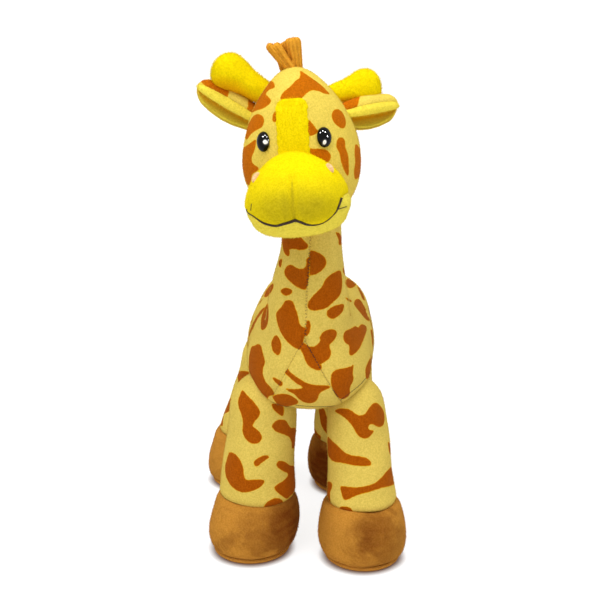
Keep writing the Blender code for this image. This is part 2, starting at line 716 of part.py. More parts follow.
def mane_ridge(name, points):
    """A flat ridge of plush along points in the middle plane, each given as back and height."""
    rings = []
    for k, (back, height) in enumerate(points):
        before = Vector(points[max(k - 1, 0)])
        after = Vector(points[min(k + 1, len(points) - 1)])
        run = (after - before).normalized()
        axes = Matrix(((1, 0, 0), (0, -run.y, run.x), (0, run.x, run.y)))
        rings.append(
            ring(axes, (0, back, height), MANE_WIDTH / 2, MANE_ROOT_DEPTH, MANE_RISE, MANE_SIDES)
        )
    return cage(name, rings)


def make_manes(head_cutter, neck_cutter, torso_cutter):
    head_points = [surface_back(HEAD_SHARES, s, HEAD_DEPTH, HEAD_HEIGHT) for s in MANE_HEAD_SHARES]
    mesh = mane_ridge("mane_head", head_points)
    ridge = add_object("mane_head", mesh, "mane_plush", HEAD_PIVOT, (0, 0, HEAD_DROP))
    trim(soften(ridge), head_cutter)
    length = NECK_TOP_HEIGHT - NECK_FOOT_HEIGHT
    neck_points = [surface_back(NECK_SHARES, s, 2 * NECK_RADIUS, length) for s in MANE_NECK_SHARES]
    mesh = mane_ridge("mane_neck", neck_points)
    ridge = add_object("mane_neck", mesh, "mane_plush", ROOT, (NECK_X, NECK_Y, NECK_FOOT_HEIGHT))
    trim(soften(ridge), neck_cutter, torso_cutter)


def make_head_group():
    """Everything that turns with the head."""
    neck_cutter = make_neck_form("cut_neck_turn", None, NECK_CLEARANCE)
    head_cutter = make_head_form("cut_head", None, SEAM_GAP)
    ear_cutter = make_head_form("cut_head_ears", None, EAR_CLEARANCE)
    muzzle_cutter = make_muzzle_form("cut_muzzle", None, SEAM_GAP)
    head = make_head_form("head", "printed_plush")
    trim(head, neck_cutter)
    make_blaze(head)
    muzzle = make_muzzle_form("muzzle", "yellow_plush")
    trim(muzzle, head_cutter, neck_cutter)
    jaw_mesh = stuffed("lower_jaw", JAW_SHARES, JAW_WIDTH, JAW_DEPTH, JAW_HEIGHT, JAW_SIDES)
    jaw = add_object("lower_jaw", jaw_mesh, "pale_plush", HEAD_PIVOT, (0, JAW_Y, JAW_BASE_HEIGHT))
    trim(soften(jaw), muzzle_cutter, head_cutter, neck_cutter)
    for side, sign in SIDES:
        trim(head, *make_eye(side, sign))
        make_nostril(side, sign, (muzzle_cutter, head_cutter))
        make_horn(side, sign, head_cutter)
        make_ear(side, sign, ear_cutter)
    make_tuft(head_cutter)
    return head_cutter


def make_body_group(head_cutter):
    """Torso and neck, with the legs and the tail seated in the torso."""
    torso = make_torso_form("torso", "printed_plush")
    for place_name, places in LEG_PLACES.items():
        trim(torso, make_leg(place_name, *places))
    trim(torso, make_tail())
    neck = make_neck_form("neck", "printed_plush")
    torso_cutter = make_torso_form("cut_torso", None, SEAM_GAP)
    trim(neck, torso_cutter)
    neck_cutter = make_neck_form("cut_neck", None, SEAM_GAP)
    make_manes(head_cutter, neck_cutter, torso_cutter)


def stand_on_origin():
    """Moves the giraffe so that the middle of its box is over the origin."""
    bpy.context.view_layer.update()
    graph = bpy.context.evaluated_depsgraph_get()
    lows = Vector((math.inf, math.inf))
    highs = Vector((-math.inf, -math.inf))
    for piece in PARTS.objects:
        if piece.type != "MESH":
            continue
        shown = piece.evaluated_get(graph)
        for vert in shown.data.vertices:
            point = shown.matrix_world @ vert.co
            for axis in range(2):
                lows[axis] = min(lows[axis], point[axis])
                highs[axis] = max(highs[axis], point[axis])
    middle = (lows + highs) / 2
    ROOT.location = (-middle.x, -middle.y, 0)


clear_scene()
PARTS = new_collection("plush_giraffe")
CUTTERS = new_collection("cutters")
MATERIALS = {slot: new_material(slot) for slot in COLOURS}
ROOT = add_empty("giraffe", (0, 0, 0))
HEAD_PIVOT = add_empty(
    "head_pivot", (NECK_X, NECK_Y, HEAD_PIVOT_HEIGHT), ROOT, (0, -HEAD_LEAN, -HEAD_TURN)
)
make_body_group(make_head_group())
stand_on_origin()
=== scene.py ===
"""Looks of the plush giraffe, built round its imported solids. Metres, +Z up, facing -Y.

Each soft solid is replaced by a sewn skin: the same stuffed form made dense, with its seams, folds and
printed coat. "Left" and "right" are the giraffe's own: its left is +X.
"""

import math

import bmesh
import bpy
import numpy as np
from mathutils import Euler, Matrix, Vector
from mathutils.bvhtree import BVHTree
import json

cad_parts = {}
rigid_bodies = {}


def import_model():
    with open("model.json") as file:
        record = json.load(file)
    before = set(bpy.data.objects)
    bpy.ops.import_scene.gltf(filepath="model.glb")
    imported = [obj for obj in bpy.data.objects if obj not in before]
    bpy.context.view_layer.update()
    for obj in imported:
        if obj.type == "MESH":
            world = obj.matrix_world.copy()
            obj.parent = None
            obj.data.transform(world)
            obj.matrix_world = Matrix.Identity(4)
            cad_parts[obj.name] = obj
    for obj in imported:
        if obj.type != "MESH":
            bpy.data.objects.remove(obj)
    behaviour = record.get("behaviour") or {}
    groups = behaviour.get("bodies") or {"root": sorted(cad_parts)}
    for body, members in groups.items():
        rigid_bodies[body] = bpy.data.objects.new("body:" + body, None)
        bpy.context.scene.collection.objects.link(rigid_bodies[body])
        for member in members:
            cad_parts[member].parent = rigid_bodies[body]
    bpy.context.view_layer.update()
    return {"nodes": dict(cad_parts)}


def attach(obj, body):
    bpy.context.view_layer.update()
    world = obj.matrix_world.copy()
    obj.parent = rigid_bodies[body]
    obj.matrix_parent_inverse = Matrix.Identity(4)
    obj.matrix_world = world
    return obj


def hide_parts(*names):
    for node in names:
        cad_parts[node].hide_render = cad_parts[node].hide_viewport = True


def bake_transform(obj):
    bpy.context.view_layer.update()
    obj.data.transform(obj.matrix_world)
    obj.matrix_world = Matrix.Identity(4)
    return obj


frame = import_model()

# Where the part's own centre line lies in this frame
SHIFT_X = 0.00471
SHIFT_Y = 0.00786

# Camera
CAMERA_PLACE = Vector((-0.005 + SHIFT_X, -0.918 + SHIFT_Y, 0.410))
CAMERA_PITCH = math.radians(14.4)
CAMERA_FOCAL_PIXELS = 1250.0
PICTURE_PIXELS = 600.0
SENSOR_WIDTH = 36.0

# Torso and neck
TORSO_SIZE = (0.0966, 0.084, 0.198)
TORSO_CHEST_Y = -0.101
TORSO_CENTRE_HEIGHT = 0.140
TORSO_TURN = math.radians(-2.0)
TORSO_SQUARENESS_SHARE = 0.88
NECK_X = 0.001
NECK_Y = -0.066
NECK_WIDTH = 0.0414
NECK_FOOT_HEIGHT = 0.140
NECK_LENGTH = 0.130
NECK_SWAY = 0.0022
NECK_SWAY_HEIGHT = 0.228
NECK_SWAY_REACH = 0.026
COAT_VOXEL = 0.0012
NECK_FILLET = 0.011

# Head
HEAD_PIVOT_HEIGHT = 0.236
HEAD_LEAN = math.radians(5.0)
HEAD_TURN = math.radians(6.5)
HEAD_DROP = 0.004
HEAD_SIZE = (0.0835, 0.082, 0.1135)
MUZZLE_SIZE = (0.0725, 0.070, 0.0505)
MUZZLE_PLACE = (0, -0.044, 0.0165)
JAW_SIZE = (0.069, 0.055, 0.024)
JAW_PLACE = (0, -0.042, 0.0095)
EYE_SIZE = (0.0104, 0.0040, 0.0134)
EYE_PLACE = (0.0200, -0.0338, 0.0725)
EYE_ASIDE = math.radians(35.0)
EYE_UPTURN = math.radians(12.0)
EYE_TILT = math.radians(8.0)
EYE_BACK_DEPTH = 0.0012

# Half width and half height of the white oval on each eye, in millimetres
EYE_DOT_HALVES = (1.15, 1.45)
SNOUT_VOXEL = 0.0010
UPPER_LIP_OVERHANG = 0.0016

# How far each lip rolls in, and the share of a full roll
UPPER_LIP_ROLL = (0.0042, 0.36)
LOWER_LIP_ROLL = (0.0070, 0.44)
LIP_HIDDEN_DEPTH = 0.006
LIP_HIDDEN_SHARE = 1.3

# Where each lip swells in the picture, how far round it and how much
LIP_SWELL_SPOTS = ((268.0, 204.0), (316.0, 206.0))
LIP_SWELL_REACH = 0.0130
LIP_SWELL = 0.0015
NOSTRIL_SIZE = (0.0034, 0.0024, 0.0078)
NOSTRIL_TURN = {"left": math.radians(-16.0), "right": math.radians(10.0)}
BLAZE_HALF_WIDTH = 0.0110
BLAZE_BOTTOM_Z = 0.0560
BLAZE_TOP_Z = 0.0997
BLAZE_END_SHARE = 0.9995
BLAZE_SHOULDER = 0.0070
BLAZE_ROUNDNESS = 2.3
BLAZE_RISE = 0.0011
BLAZE_EDGE_DEPTH = 0.0005
BLAZE_ROOT_DEPTH = 0.0016
BLAZE_STEPS = (40, 90)

# How much the panel's sides waver, how often in a length, and where in the wave
BLAZE_WAVERS = ((0.022, 620.0, 0.0), (0.018, 1430.0, 1.0))

# Horns and ears
HORN_LENGTH = 0.0465
HORN_WIDTH = 0.0256
HORN_ROOT_X = 0.0165
HORN_ROOT_Z = {"left": 0.0947, "right": 0.0962}
HORN_ROOT_Y = {"left": 0.0090, "right": 0.0050}
HORN_RAISE = {"left": math.radians(5.0), "right": math.radians(36.3)}
HORN_SHAFT_SHARE = {"left": 0.76, "right": 0.94}
HORN_BULB_SHARE = {"left": 1.10, "right": 1.04}
HORN_BULB_START_SHARE = 0.40
HORN_BULB_RUN_SHARE = 0.25
HORN_LENGTH_SHARE = {"left": 0.93, "right": 1.03}
HORN_SWEEP = {"left": math.radians(28.0), "right": math.radians(0.0)}
EAR_LENGTH = 0.0500
EAR_WIDTH = 0.0270
EAR_ROOT = (0.0270, 0.0060, 0.0815)
EAR_RAISE = {"left": math.radians(2.5), "right": math.radians(33.5)}
EAR_LENGTH_SHARE = {"left": 0.90, "right": 1.01}
EAR_SWEEP = {"left": math.radians(30.0), "right": math.radians(6.0)}
EAR_SPINE_TILT = math.radians(25.0)
EAR_ROLL_START = 0.74
EAR_ROLL_RUN_SHARE = 0.12
EAR_TIP_START_SHARE = 0.84
EAR_THIN_SHARE = 0.35
EAR_FOLD_STEPS = 8
EAR_RINGS = 60
EAR_STEPS = 40

# Leaves of an ear: start and end across its section, thickness, place in the section, roll's thickness
EAR_LEAVES = {
    "ear_back_": (0.01, EAR_ROLL_START + 0.05, 0.0020, 0.0011, 0.0),
    "ear_lining_": (0.0, 1.0, 0.0024, -0.0011, 0.0036),
}

# Legs, hooves and soles: hip, ankle and foot places, and how far the toe turns out
HIP_RADIUS = 0.0238
HIP_HEIGHT = 0.1125
ANKLE_RADIUS = 0.0283
HOOF_SEAM_HEIGHT = 0.0425
HOOF_WIDTH = 0.0665
HOOF_LENGTH = 0.0740
SOLE_THICKNESS = 0.0035
HIP_BALL_ANGLES = (math.radians(60.0), math.radians(30.0), 0.0)
LEG_PLACES = {
    "front_right": ((-0.0312, -0.0600), (-0.0370, -0.0570), (-0.0402, -0.0570), math.radians(8.0)),
    "front_left": ((0.0352, -0.0620), (0.0402, -0.0700), (0.0400, -0.0700), math.radians(8.0)),
    "rear_right": ((-0.0298, 0.0560), (-0.0468, 0.0780), (-0.0474, 0.0780), math.radians(38.0)),
    "rear_left": ((0.0298, 0.0520), (0.0340, 0.0650), (0.0338, 0.0650), math.radians(30.0)),
}
LEG_FULLNESS_SHARES = {"front_right": 1.03, "front_left": 0.92, "rear_right": 0.96, "rear_left": 0.96}
HOOF_FULLNESS_SHARES = {"front_right": 1.010, "front_left": 0.978, "rear_right": 1.00, "rear_left": 1.00}
TOE_FORWARD = 0.0034

# Tail
TAIL_ROOT = (0, 0.0950, 0.1600)
TAIL_RADIUS = 0.0058
TAIL_LENGTH = 0.0560
TAIL_SLANT = math.radians(18.0)
TAIL_TUFT_LENGTH = 0.0300
TAIL_TUFT_WIDTH = 0.0190
TAIL_BALL_ANGLES = (math.radians(50.0), 0.0)
TAIL_RING_SHARES = (0.25, 0.5, 0.75, 1.0)
TAIL_RIB_HEIGHT = 0.0006
TAIL_RIBS = 11
TAIL_RIB_TWIST = 180.0
TAIL_FOLD_DEPTH = 0.0006

# Mane
TUFT_ROOT = (-0.0012, 0.0050, 0.1065)
TUFT_RIB_HEIGHT = 0.00036
TUFT_RIBS = 10
TUFT_VOXEL = 0.00042
MANE_WIDTH = 0.0080
MANE_RISE = 0.0070
MANE_ROOT_DEPTH = 0.0040
MANE_FOLD_DEPTH = 0.0004
MANE_HEAD_SHARES = (0.90, 0.80, 0.66, 0.52, 0.38, 0.26, 0.17)
MANE_NECK_SHARES = (0.76, 0.66, 0.56, 0.46, 0.38)

# The tuft's folds: root across and forward, width, depth, height, lean sideways, turn
TUFT_FOLDS = (
    (0.0034, 0.0036, 0.0054, 0.0120, 0.0328, math.radians(-34.5), math.radians(15.0)),
    (0.0058, 0.0040, 0.0058, 0.0120, 0.0316, math.radians(-31.0), math.radians(15.0)),
    (0.0046, -0.0020, 0.0110, 0.0086, 0.0292, math.radians(-17.0), 0.0),
    (0.0038, 0.0005, 0.0110, 0.0110, 0.0300, math.radians(-5.0), math.radians(-8.0)),
    (-0.0054, -0.0060, 0.0100, 0.0110, 0.0180, math.radians(-3.0), 0.0),
)

# Cloth: the sides of the cages, how often they are softened, and smallest measures
SKIN_SIDES = 12
LEG_SIDES = 10
SMALL_SIDES = 8
THREAD_SIDES = 6
FORM_LEVELS = 3
SKIN_LEVELS = 4
SHORT_EDGE = 1e-7
TINY = 1e-12
MILLIMETRES = 1000
WAVE_COUNT = 9
WAVE_STRETCH_SHARES = (0.6, 1.5)
WAVE_LENGTH_SHARE = 1.6

# Lumps of the filling: height, size, seed
LUMPS = {
    "body": (0.0007, 0.034, 11), "leg": (0.0006, 0.026, 40), "hoof": (0.0005, 0.022, 60),
    "head": (0.0006, 0.030, 21), "muzzle": (0.0004, 0.025, 31), "jaw": (0.0003, 0.020, 32),
    "horn": (0.0004, 0.016, 70),
}

# How full each kind of piece is stuffed
FILL = 0.9
BLAZE_FILL = 0.5
HOOF_FILL = 0.95
EAR_FILL = 0.6
MANE_FILL = 0.7
TAIL_FILL = 0.8

# Seams: how deep they are pressed in and how wide, and how the cloth swells beside them
CHEST_SEAM_PRESS = (0.0010, 0.0022)
GUSSET_SEAM_PRESS = (0.0010, 0.0020)
LIP_SEAM_PRESS = (0.0017, 0.0024)
SEAM_SWELL_SHARE = 0.35
SEAM_SWELL_PLACE_SHARE = 2.6
SEAM_SWELL_REACH_SHARE = 1.3
LEG_TUCK = (0.0016, 0.0022)
HOOF_TOP_TUCK = (0.0013, 0.0020)
HOOF_FOOT_TUCK = (0.0020, 0.0016)
SOLE_TUCK = (0.0006, 0.0008)

# Pile: fibres on a square metre, length, lean, spread
COAT_PILE = (800000.0, 0.0010, 0.55, 0.45)
YELLOW_PILE = (1800000.0, 0.0017, 0.25, 0.60)
HOOF_PILE = (1000000.0, 0.0010, 0.55, 0.40)
MANE_PILE = (1500000.0, 0.0011, 0.10, 0.60)
FIBRE_WIDTH = 0.00009
FIBRE_LENGTH_SHARES = (0.55, 1.15)
PLUSH_BUMP = 0.0004
STRAND_BUMP = 0.0003

# The made-up print of the hidden sides: seed, distance between spots, their radius
PRINTS = {
    "body": (101, 0.021, 0.0052), "head": (102, 0.017, 0.0042), "leg": (110, 0.019, 0.0048),
    "ear": (120, 0.016, 0.0040), "tail": (130, 0.013, 0.0036),
}
PRINT_MARGIN_PIXELS = 12.0
PRINT_STEPS = 5
SCATTER_TRIES = 6000
SCATTER_EMPTY_DEPTH = 0.01
SCATTER_REACH_SHARES = (0.12, 0.42)
SCATTER_BEND_SHARE = 0.7
SCATTER_SIZE_SHARES = (0.55, 1.15)
SCATTER_BLEND = 0.002
SEEN_FACING_SHARE = 0.08
SEEN_LIFT = 0.0008

# How deep a spot must be to show where the other side's print begins
PRINT_FADE = 0.008

# Painted shade on the hooves, with their nap, and on the muzzle: how its streaks and patches wave, and
# picture heights
HOOF_STREAK_SHARES = np.array((0.6, 0.6, 2.2))
HOOF_STREAK_WAVES = (0.006, 77)
HOOF_RAGGED_WAVES = ((3.0, 0.008, 78), (1.6, 0.0022, 79))
MUZZLE_SHADE_WAVES = (0.008, 78)
MUZZLE_SHADE_TOP = 162.0
MUZZLE_SHADE_HEIGHT = 46.0
LIP_SEAM_SHADE_FADE = 6.0
LIP_SEAM_SHADE_WIDTH = 0.8

# Rows of shares: along, width, front, back. Where the three are equal, the row gives them once.
TORSO_SHARES = (
    (0.02, 0.40, 0.60, 0.34),
    (0.08, 0.74, 0.98, 0.58),
    (0.18, 0.91, 1.08, 0.70),
    (0.33, 0.97, 1.08, 0.76),
    (0.50, 0.99, 1.14, 0.79),
    (0.68, 1.00, 1.20, 0.81),
    (0.82, 0.97, 1.14, 0.80),
    (0.92, 0.80, 0.90, 0.66),
    (0.98, 0.44, 0.50, 0.38),
)
NECK_SHARES = (
    (0.08, 1.45, 1.38, 1.30),
    (0.26, 1.54, 1.50, 1.55),
    (0.42, 1.34, 1.31, 1.40),
    (0.58, 1.14, 1.12, 1.16),
    (0.70, 1.00),
    (0.84, 1.00),
    (0.93, 0.86),
    (0.985, 0.50),
)
HEAD_SHARES = (
    (0.04, 0.36, 0.34, 0.42),
    (0.13, 0.66, 0.64, 0.70),
    (0.26, 0.90, 0.88, 0.93),
    (0.41, 1.00, 1.00, 1.02),
    (0.54, 0.97, 1.00, 1.00),
    (0.68, 0.86, 0.94, 0.91),
    (0.80, 0.695, 0.81, 0.77),
    (0.90, 0.48, 0.60, 0.57),
    (0.97, 0.25, 0.32, 0.31),
)
MUZZLE_SHARES = (
    (0.05, 0.68, 0.64, 0.60),
    (0.14, 0.94, 0.90, 0.80),
    (0.29, 1.00, 0.97, 0.90),
    (0.47, 0.95, 0.94, 0.90),
    (0.65, 0.82, 0.80, 0.85),
    (0.81, 0.61, 0.54, 0.70),
    (0.94, 0.34, 0.23, 0.45),
)
JAW_SHARES = (
    (0.07, 0.58, 0.57, 0.45),
    (0.27, 0.86, 0.88, 0.62),
    (0.55, 0.98, 0.99, 0.70),
    (0.85, 0.80, 0.80, 0.60),
)
HORN_SHARES = (
    (0.05, 0.72), (0.34, 0.75), (0.50, 0.82), (0.66, 0.97), (0.82, 1.00), (0.94, 0.72),
)
TAIL_TUFT_SHARES = (
    (0.10, 0.66), (0.40, 1.00), (0.75, 0.72), (0.95, 0.30),
)
TUFT_SHARES = (
    (0.03, 0.50, 0.60, 0.60),
    (0.45, 0.72, 0.80, 0.80),
    (0.80, 0.96, 1.00, 1.00),
    (0.95, 1.00, 0.90, 0.90),
    (0.99, 0.66, 0.60, 0.60),
)
SHAFT_SHARES = ((0.16, 0.01), (0.42, 0.20), (0.72, 0.62), (1.00, 1.00))
HOOF_SHARES = (
    (1.00, 0.855, 0.765, 0.00),
    (0.80, 0.93, 0.87, 0.10),
    (0.52, 1.00, 0.97, 0.35),
    (0.26, 1.01, 0.98, 0.70),
    (0.09, 0.94, 0.93, 0.95),
    (0.00, 0.85, 0.85, 1.00),
)
SOLE_SHARES = ((1.00, 0.845, 0.835, 1.00), (0.45, 0.860, 0.850, 1.00), (0.00, 0.79, 0.78, 1.00))
EAR_WIDTH_SHARES = (0.62, 0.80, 0.95, 1.00, 0.94, 0.78, 0.50)

# An ear's section, from its lower edge up its back and over its folded top: forward and up
EAR_FOLD_SHARES = (
    (0.42, -0.78),
    (0.02, -0.70),
    (-0.28, -0.48),
    (-0.42, -0.02),
    (-0.34, 0.46),
    (-0.02, 0.76),
    (0.36, 0.72),
    (0.62, 0.44),
    (0.68, 0.22),
)

# The printed spots that the camera sees, outlined on enlarged views of the toy.
# Each view states the picture place of its corner and how many times it is enlarged.
FACE_VIEW = (235.0, 60.0, 8.108)
CHEST_VIEW = (240.0, 232.0, 8.333)
LEFT_LEG_VIEW = (203.0, 378.0, 10.0)
RIGHT_LEG_VIEW = (305.0, 378.0, 10.0)
LEFT_EAR_VIEW = (190.0, 36.0, 10.0)
RIGHT_EAR_VIEW = (290.0, 50.0, 10.0)

HEAD_SPOTS = (
    ((530, 90), (560, 105), (640, 160), (700, 205), (740, 245), (765, 275), (720, 270), (670, 250),
     (620, 245), (580, 270), (545, 305), (520, 330), (440, 330), (400, 325), (375, 320), (370, 300),
     (400, 255), (450, 215), (490, 170), (520, 150), (530, 120)),
    ((300, 172), (318, 195), (318, 225), (280, 240), (250, 275), (270, 300), (292, 330), (270, 365),
     (220, 395), (170, 410), (130, 430), (110, 420), (150, 340), (185, 290), (220, 240), (245, 205),
     (270, 185)),
    ((120, 500), (150, 455), (190, 440), (225, 460), (235, 500), (215, 545), (170, 570), (130, 600),
     (95, 645), (85, 600), (100, 545)),
    ((60, 720), (110, 685), (165, 645), (168, 680), (155, 740), (135, 790), (145, 840), (185, 870),
     (185, 895), (150, 915), (135, 940), (128, 1000), (105, 1010), (75, 970), (60, 900), (50, 820),
     (48, 760)),
    ((305, 465), (315, 430), (335, 415), (350, 450), (345, 490), (335, 500), (318, 503), (305, 490)),
    ((785, 450), (800, 410), (835, 400), (870, 425), (895, 480), (895, 535), (875, 553), (840, 540),
     (800, 500)),
    ((825, 670), (835, 640), (865, 628), (890, 655), (895, 710), (915, 770), (922, 840), (922, 920),
     (910, 935), (885, 890), (860, 820), (850, 760), (825, 710)),
    ((975, 690), (1000, 700), (1040, 780), (1050, 850), (1040, 920), (990, 960), (972, 960), (965, 900),
     (975, 830), (970, 760)),
    ((590, 495), (608, 495), (625, 515), (660, 560), (675, 580), (640, 605), (608, 615), (590, 610)),
    ((580, 725), (640, 720), (720, 725), (760, 745), (775, 780), (765, 815), (740, 838), (700, 840),
     (640, 810), (585, 780)),
)
BODY_SPOTS = (
    ((345, 10), (450, 10), (500, 40), (540, 80), (567, 112), (555, 138), (505, 150), (440, 140), (412, 150),
     (415, 178), (402, 200), (378, 185), (362, 150), (352, 90)),
    ((585, 158), (640, 168), (695, 200), (720, 250), (700, 300), (655, 340), (600, 360), (584, 345),
     (581, 250)),
    ((375, 310), (400, 280), (430, 275), (465, 295), (500, 308), (540, 300), (553, 270), (555, 225),
     (578, 220), (578, 330), (568, 400), (560, 450), (545, 480), (500, 470), (450, 440), (400, 395),
     (372, 350)),
    ((340, 485), (375, 467), (420, 475), (435, 500), (415, 520), (385, 530), (352, 515)),
    ((565, 600), (590, 555), (640, 500), (680, 460), (710, 400), (750, 360), (800, 330), (838, 325),
     (850, 400), (848, 470), (830, 530), (780, 580), (730, 625), (680, 645), (620, 655), (575, 640)),
    ((865, 603), (860, 650), (830, 690), (780, 722), (745, 715), (722, 685), (735, 650), (780, 620),
     (830, 605)),
    ((305, 670), (345, 625), (372, 580), (405, 567), (440, 583), (463, 640), (480, 690), (500, 770),
     (545, 808), (548, 850), (525, 905), (540, 950), (500, 978), (450, 960), (400, 920), (350, 855),
     (315, 770), (303, 710)),
    ((555, 745), (575, 740), (587, 770), (583, 825), (560, 862), (545, 862), (548, 800)),
    ((500, 950), (530, 930), (600, 975), (650, 1080), (680, 1120), (665, 1152), (610, 1140), (560, 1100),
     (530, 1030), (510, 985)),
    ((580, 960), (620, 955), (665, 915), (668, 870), (700, 830), (760, 810), (800, 825), (805, 860),
     (780, 905), (745, 945), (758, 1000), (745, 1050), (700, 1085), (660, 1100), (620, 1040)),
    ((860, 880), (875, 830), (925, 805), (960, 785), (985, 795), (1010, 770), (1045, 780), (1055, 810),
     (1035, 880), (1000, 960), (960, 1010), (925, 1028), (910, 1010), (910, 950), (875, 920)),
    ((765, 1180), (800, 1150), (870, 1135), (925, 1120), (945, 1105), (940, 1180), (945, 1230), (915, 1300),
     (915, 1350), (880, 1385), (840, 1390), (800, 1360), (765, 1290), (758, 1230)),
    ((1125, 970), (1125, 1080), (1110, 1160), (1065, 1220), (1050, 1215), (1045, 1150), (1060, 1100),
     (1090, 1040)),
    ((1088, 815), (1105, 830), (1125, 920), (1125, 1000), (1105, 960), (1096, 880)),
    ((95, 960), (120, 950), (150, 935), (175, 950), (190, 1010), (208, 1080), (195, 1130), (190, 1180),
     (215, 1250), (260, 1300), (285, 1350), (240, 1370), (215, 1410), (150, 1370), (90, 1300), (75, 1180),
     (75, 1050)),
    ((262, 920), (285, 870), (310, 865), (335, 905), (345, 960), (330, 1015), (310, 1025), (280, 1000),
     (265, 960)),
    ((272, 1210), (310, 1225), (355, 1255), (345, 1285), (320, 1275), (285, 1240)),
    ((375, 1165), (405, 1140), (412, 1160), (460, 1200), (540, 1250), (620, 1275), (735, 1280), (745, 1300),
     (700, 1320), (660, 1350), (640, 1400), (600, 1425), (540, 1420), (490, 1390), (450, 1350), (395, 1320),
     (385, 1305), (440, 1310), (510, 1305), (520, 1290), (470, 1260), (410, 1210), (380, 1180)),
    ((275, 1370), (330, 1350), (400, 1355), (460, 1385), (485, 1420), (450, 1440), (370, 1455),
     (320, 1440), (285, 1400)),
    ((680, 1480), (760, 1465), (830, 1435), (870, 1440), (880, 1470), (820, 1500), (740, 1510)),
    ((205, 520), (235, 465), (270, 430), (280, 450), (260, 500), (225, 540), (205, 540)),
    ((232, 600), (238, 700), (225, 780), (195, 815), (175, 800), (178, 720), (200, 650)),
    ((205, 630), (190, 665), (150, 720), (120, 780), (85, 870), (70, 870), (95, 790), (130, 720), (175, 650)),
    ((125, 655), (112, 700), (100, 755), (85, 755), (105, 690), (118, 650)),
    ((860, 300), (905, 320), (955, 375), (975, 420), (945, 460), (905, 465), (878, 430), (885, 400),
     (905, 380),
     (880, 360), (862, 340)),
    ((880, 548), (905, 555), (930, 575), (920, 582), (890, 565)),
    ((950, 590), (970, 560), (1000, 565), (1030, 610), (1055, 660), (1085, 720), (1070, 740), (1040, 720),
     (1000, 670), (960, 620)),
    ((975, 450), (1015, 500), (1040, 565), (1022, 560), (1000, 510)),
    ((1105, 1265), (1110, 1290), (1070, 1330), (1060, 1370), (1020, 1400), (975, 1405), (1000, 1370),
     (1040, 1320), (1075, 1265)),
    ((800, 5), (830, 15), (850, 60), (845, 100), (825, 105), (820, 60)),
    ((350, 225), (350, 250), (340, 290), (325, 285), (325, 240)),
)
FRONT_RIGHT_LEG_SPOTS = (
    ((395, 125), (440, 170), (500, 230), (545, 290), (570, 340), (555, 390), (520, 430), (498, 480),
     (540, 515), (580, 560), (588, 605), (560, 645), (510, 658), (460, 640), (415, 590), (395, 530),
     (400, 450), (385, 370), (360, 300), (352, 230), (370, 170)),
    ((690, 260), (745, 255), (800, 280), (808, 330), (800, 375), (770, 370), (725, 335), (695, 295)),
    ((690, 478), (730, 430), (785, 415), (830, 430), (860, 475), (880, 500), (925, 505), (925, 600),
     (915, 690), (890, 700), (885, 640), (860, 590), (810, 565), (750, 545), (710, 515)),
    ((265, 745), (300, 748), (350, 790), (385, 850), (405, 920), (412, 990), (440, 1020), (500, 1018),
     (570, 1015), (612, 1030), (590, 1075), (530, 1115), (450, 1140), (380, 1140), (310, 1105), (255, 1040),
     (225, 960), (222, 880), (240, 810), (255, 760)),
    ((508, 840), (540, 810), (590, 782), (640, 775), (660, 795), (620, 825), (585, 850), (550, 880),
     (520, 880)),
    ((735, 860), (760, 830), (820, 840), (870, 875), (925, 890), (925, 1000), (925, 1120), (870, 1180),
     (835, 1205), (800, 1185), (740, 1140), (715, 1095), (750, 1060), (800, 1030), (840, 990), (848, 955),
     (800, 930), (750, 895)),
    ((610, 1290), (650, 1235), (710, 1205), (760, 1205), (800, 1235), (790, 1270), (760, 1310), (660, 1310)),
)
FRONT_LEFT_LEG_SPOTS = (
    ((300, 330), (350, 305), (420, 310), (460, 325), (510, 360), (555, 375), (600, 360), (640, 300),
     (675, 260), (710, 248), (750, 275), (785, 330), (795, 400), (785, 465), (750, 490), (710, 480),
     (680, 462), (650, 465), (632, 495), (650, 520), (685, 525), (670, 560), (635, 595), (600, 605),
     (550, 590), (510, 545), (485, 500), (450, 450), (400, 400), (350, 365)),
    ((230, 590), (250, 605), (290, 645), (340, 690), (400, 745), (470, 775), (550, 785), (620, 805),
     (662, 845),
     (650, 875), (600, 880), (520, 875), (460, 868), (380, 850), (300, 838), (262, 815), (230, 760),
     (225, 660)),
    ((355, 1085), (400, 1085), (480, 1095), (560, 1090), (640, 1075), (710, 1045), (770, 990), (820, 930),
     (870, 885), (900, 900), (900, 1040), (850, 1080), (780, 1095), (700, 1120), (620, 1145), (540, 1165),
     (470, 1195), (410, 1220), (380, 1200), (365, 1150)),
    ((315, 1335), (350, 1295), (400, 1285), (450, 1300), (490, 1345), (505, 1380), (440, 1385), (360, 1360)),
    ((225, 1040), (268, 1050), (268, 1100), (250, 1150), (252, 1260), (215, 1260), (195, 1180), (205, 1100)),
    ((832, 640), (855, 670), (880, 740), (885, 800), (850, 765), (835, 700)),
)
REAR_RIGHT_LEG_SPOTS = (
    ((225, 290), (275, 200), (285, 300), (250, 340), (215, 360), (200, 420), (195, 480), (150, 440),
     (180, 360)),
    ((290, 420), (315, 440), (310, 520), (285, 580), (268, 570), (280, 500)),
    ((350, -60), (460, -60), (450, 10), (400, 90), (372, 95), (355, 40)),
    ((300, 130), (345, 85), (360, 125), (325, 150)),
)
REAR_LEFT_LEG_SPOTS = (
    ((140, 300), (190, 310), (215, 380), (260, 420), (250, 480), (235, 565), (190, 520), (160, 460),
     (150, 400)),
    ((80, 480), (130, 560), (158, 580), (155, 640), (165, 700), (125, 670), (80, 600)),
)
LEFT_EAR_SPOTS = (
    ((90, 430), (200, 440), (300, 470), (385, 540), (375, 600), (350, 660), (290, 630), (230, 570),
     (180, 520)),
    ((600, 590), (670, 640), (660, 720), (620, 800), (560, 790), (580, 700)),
)
RIGHT_EAR_SPOTS = (
    ((440, 480), (560, 440), (690, 430), (685, 510), (665, 570), (600, 620), (500, 640), (460, 560)),
)

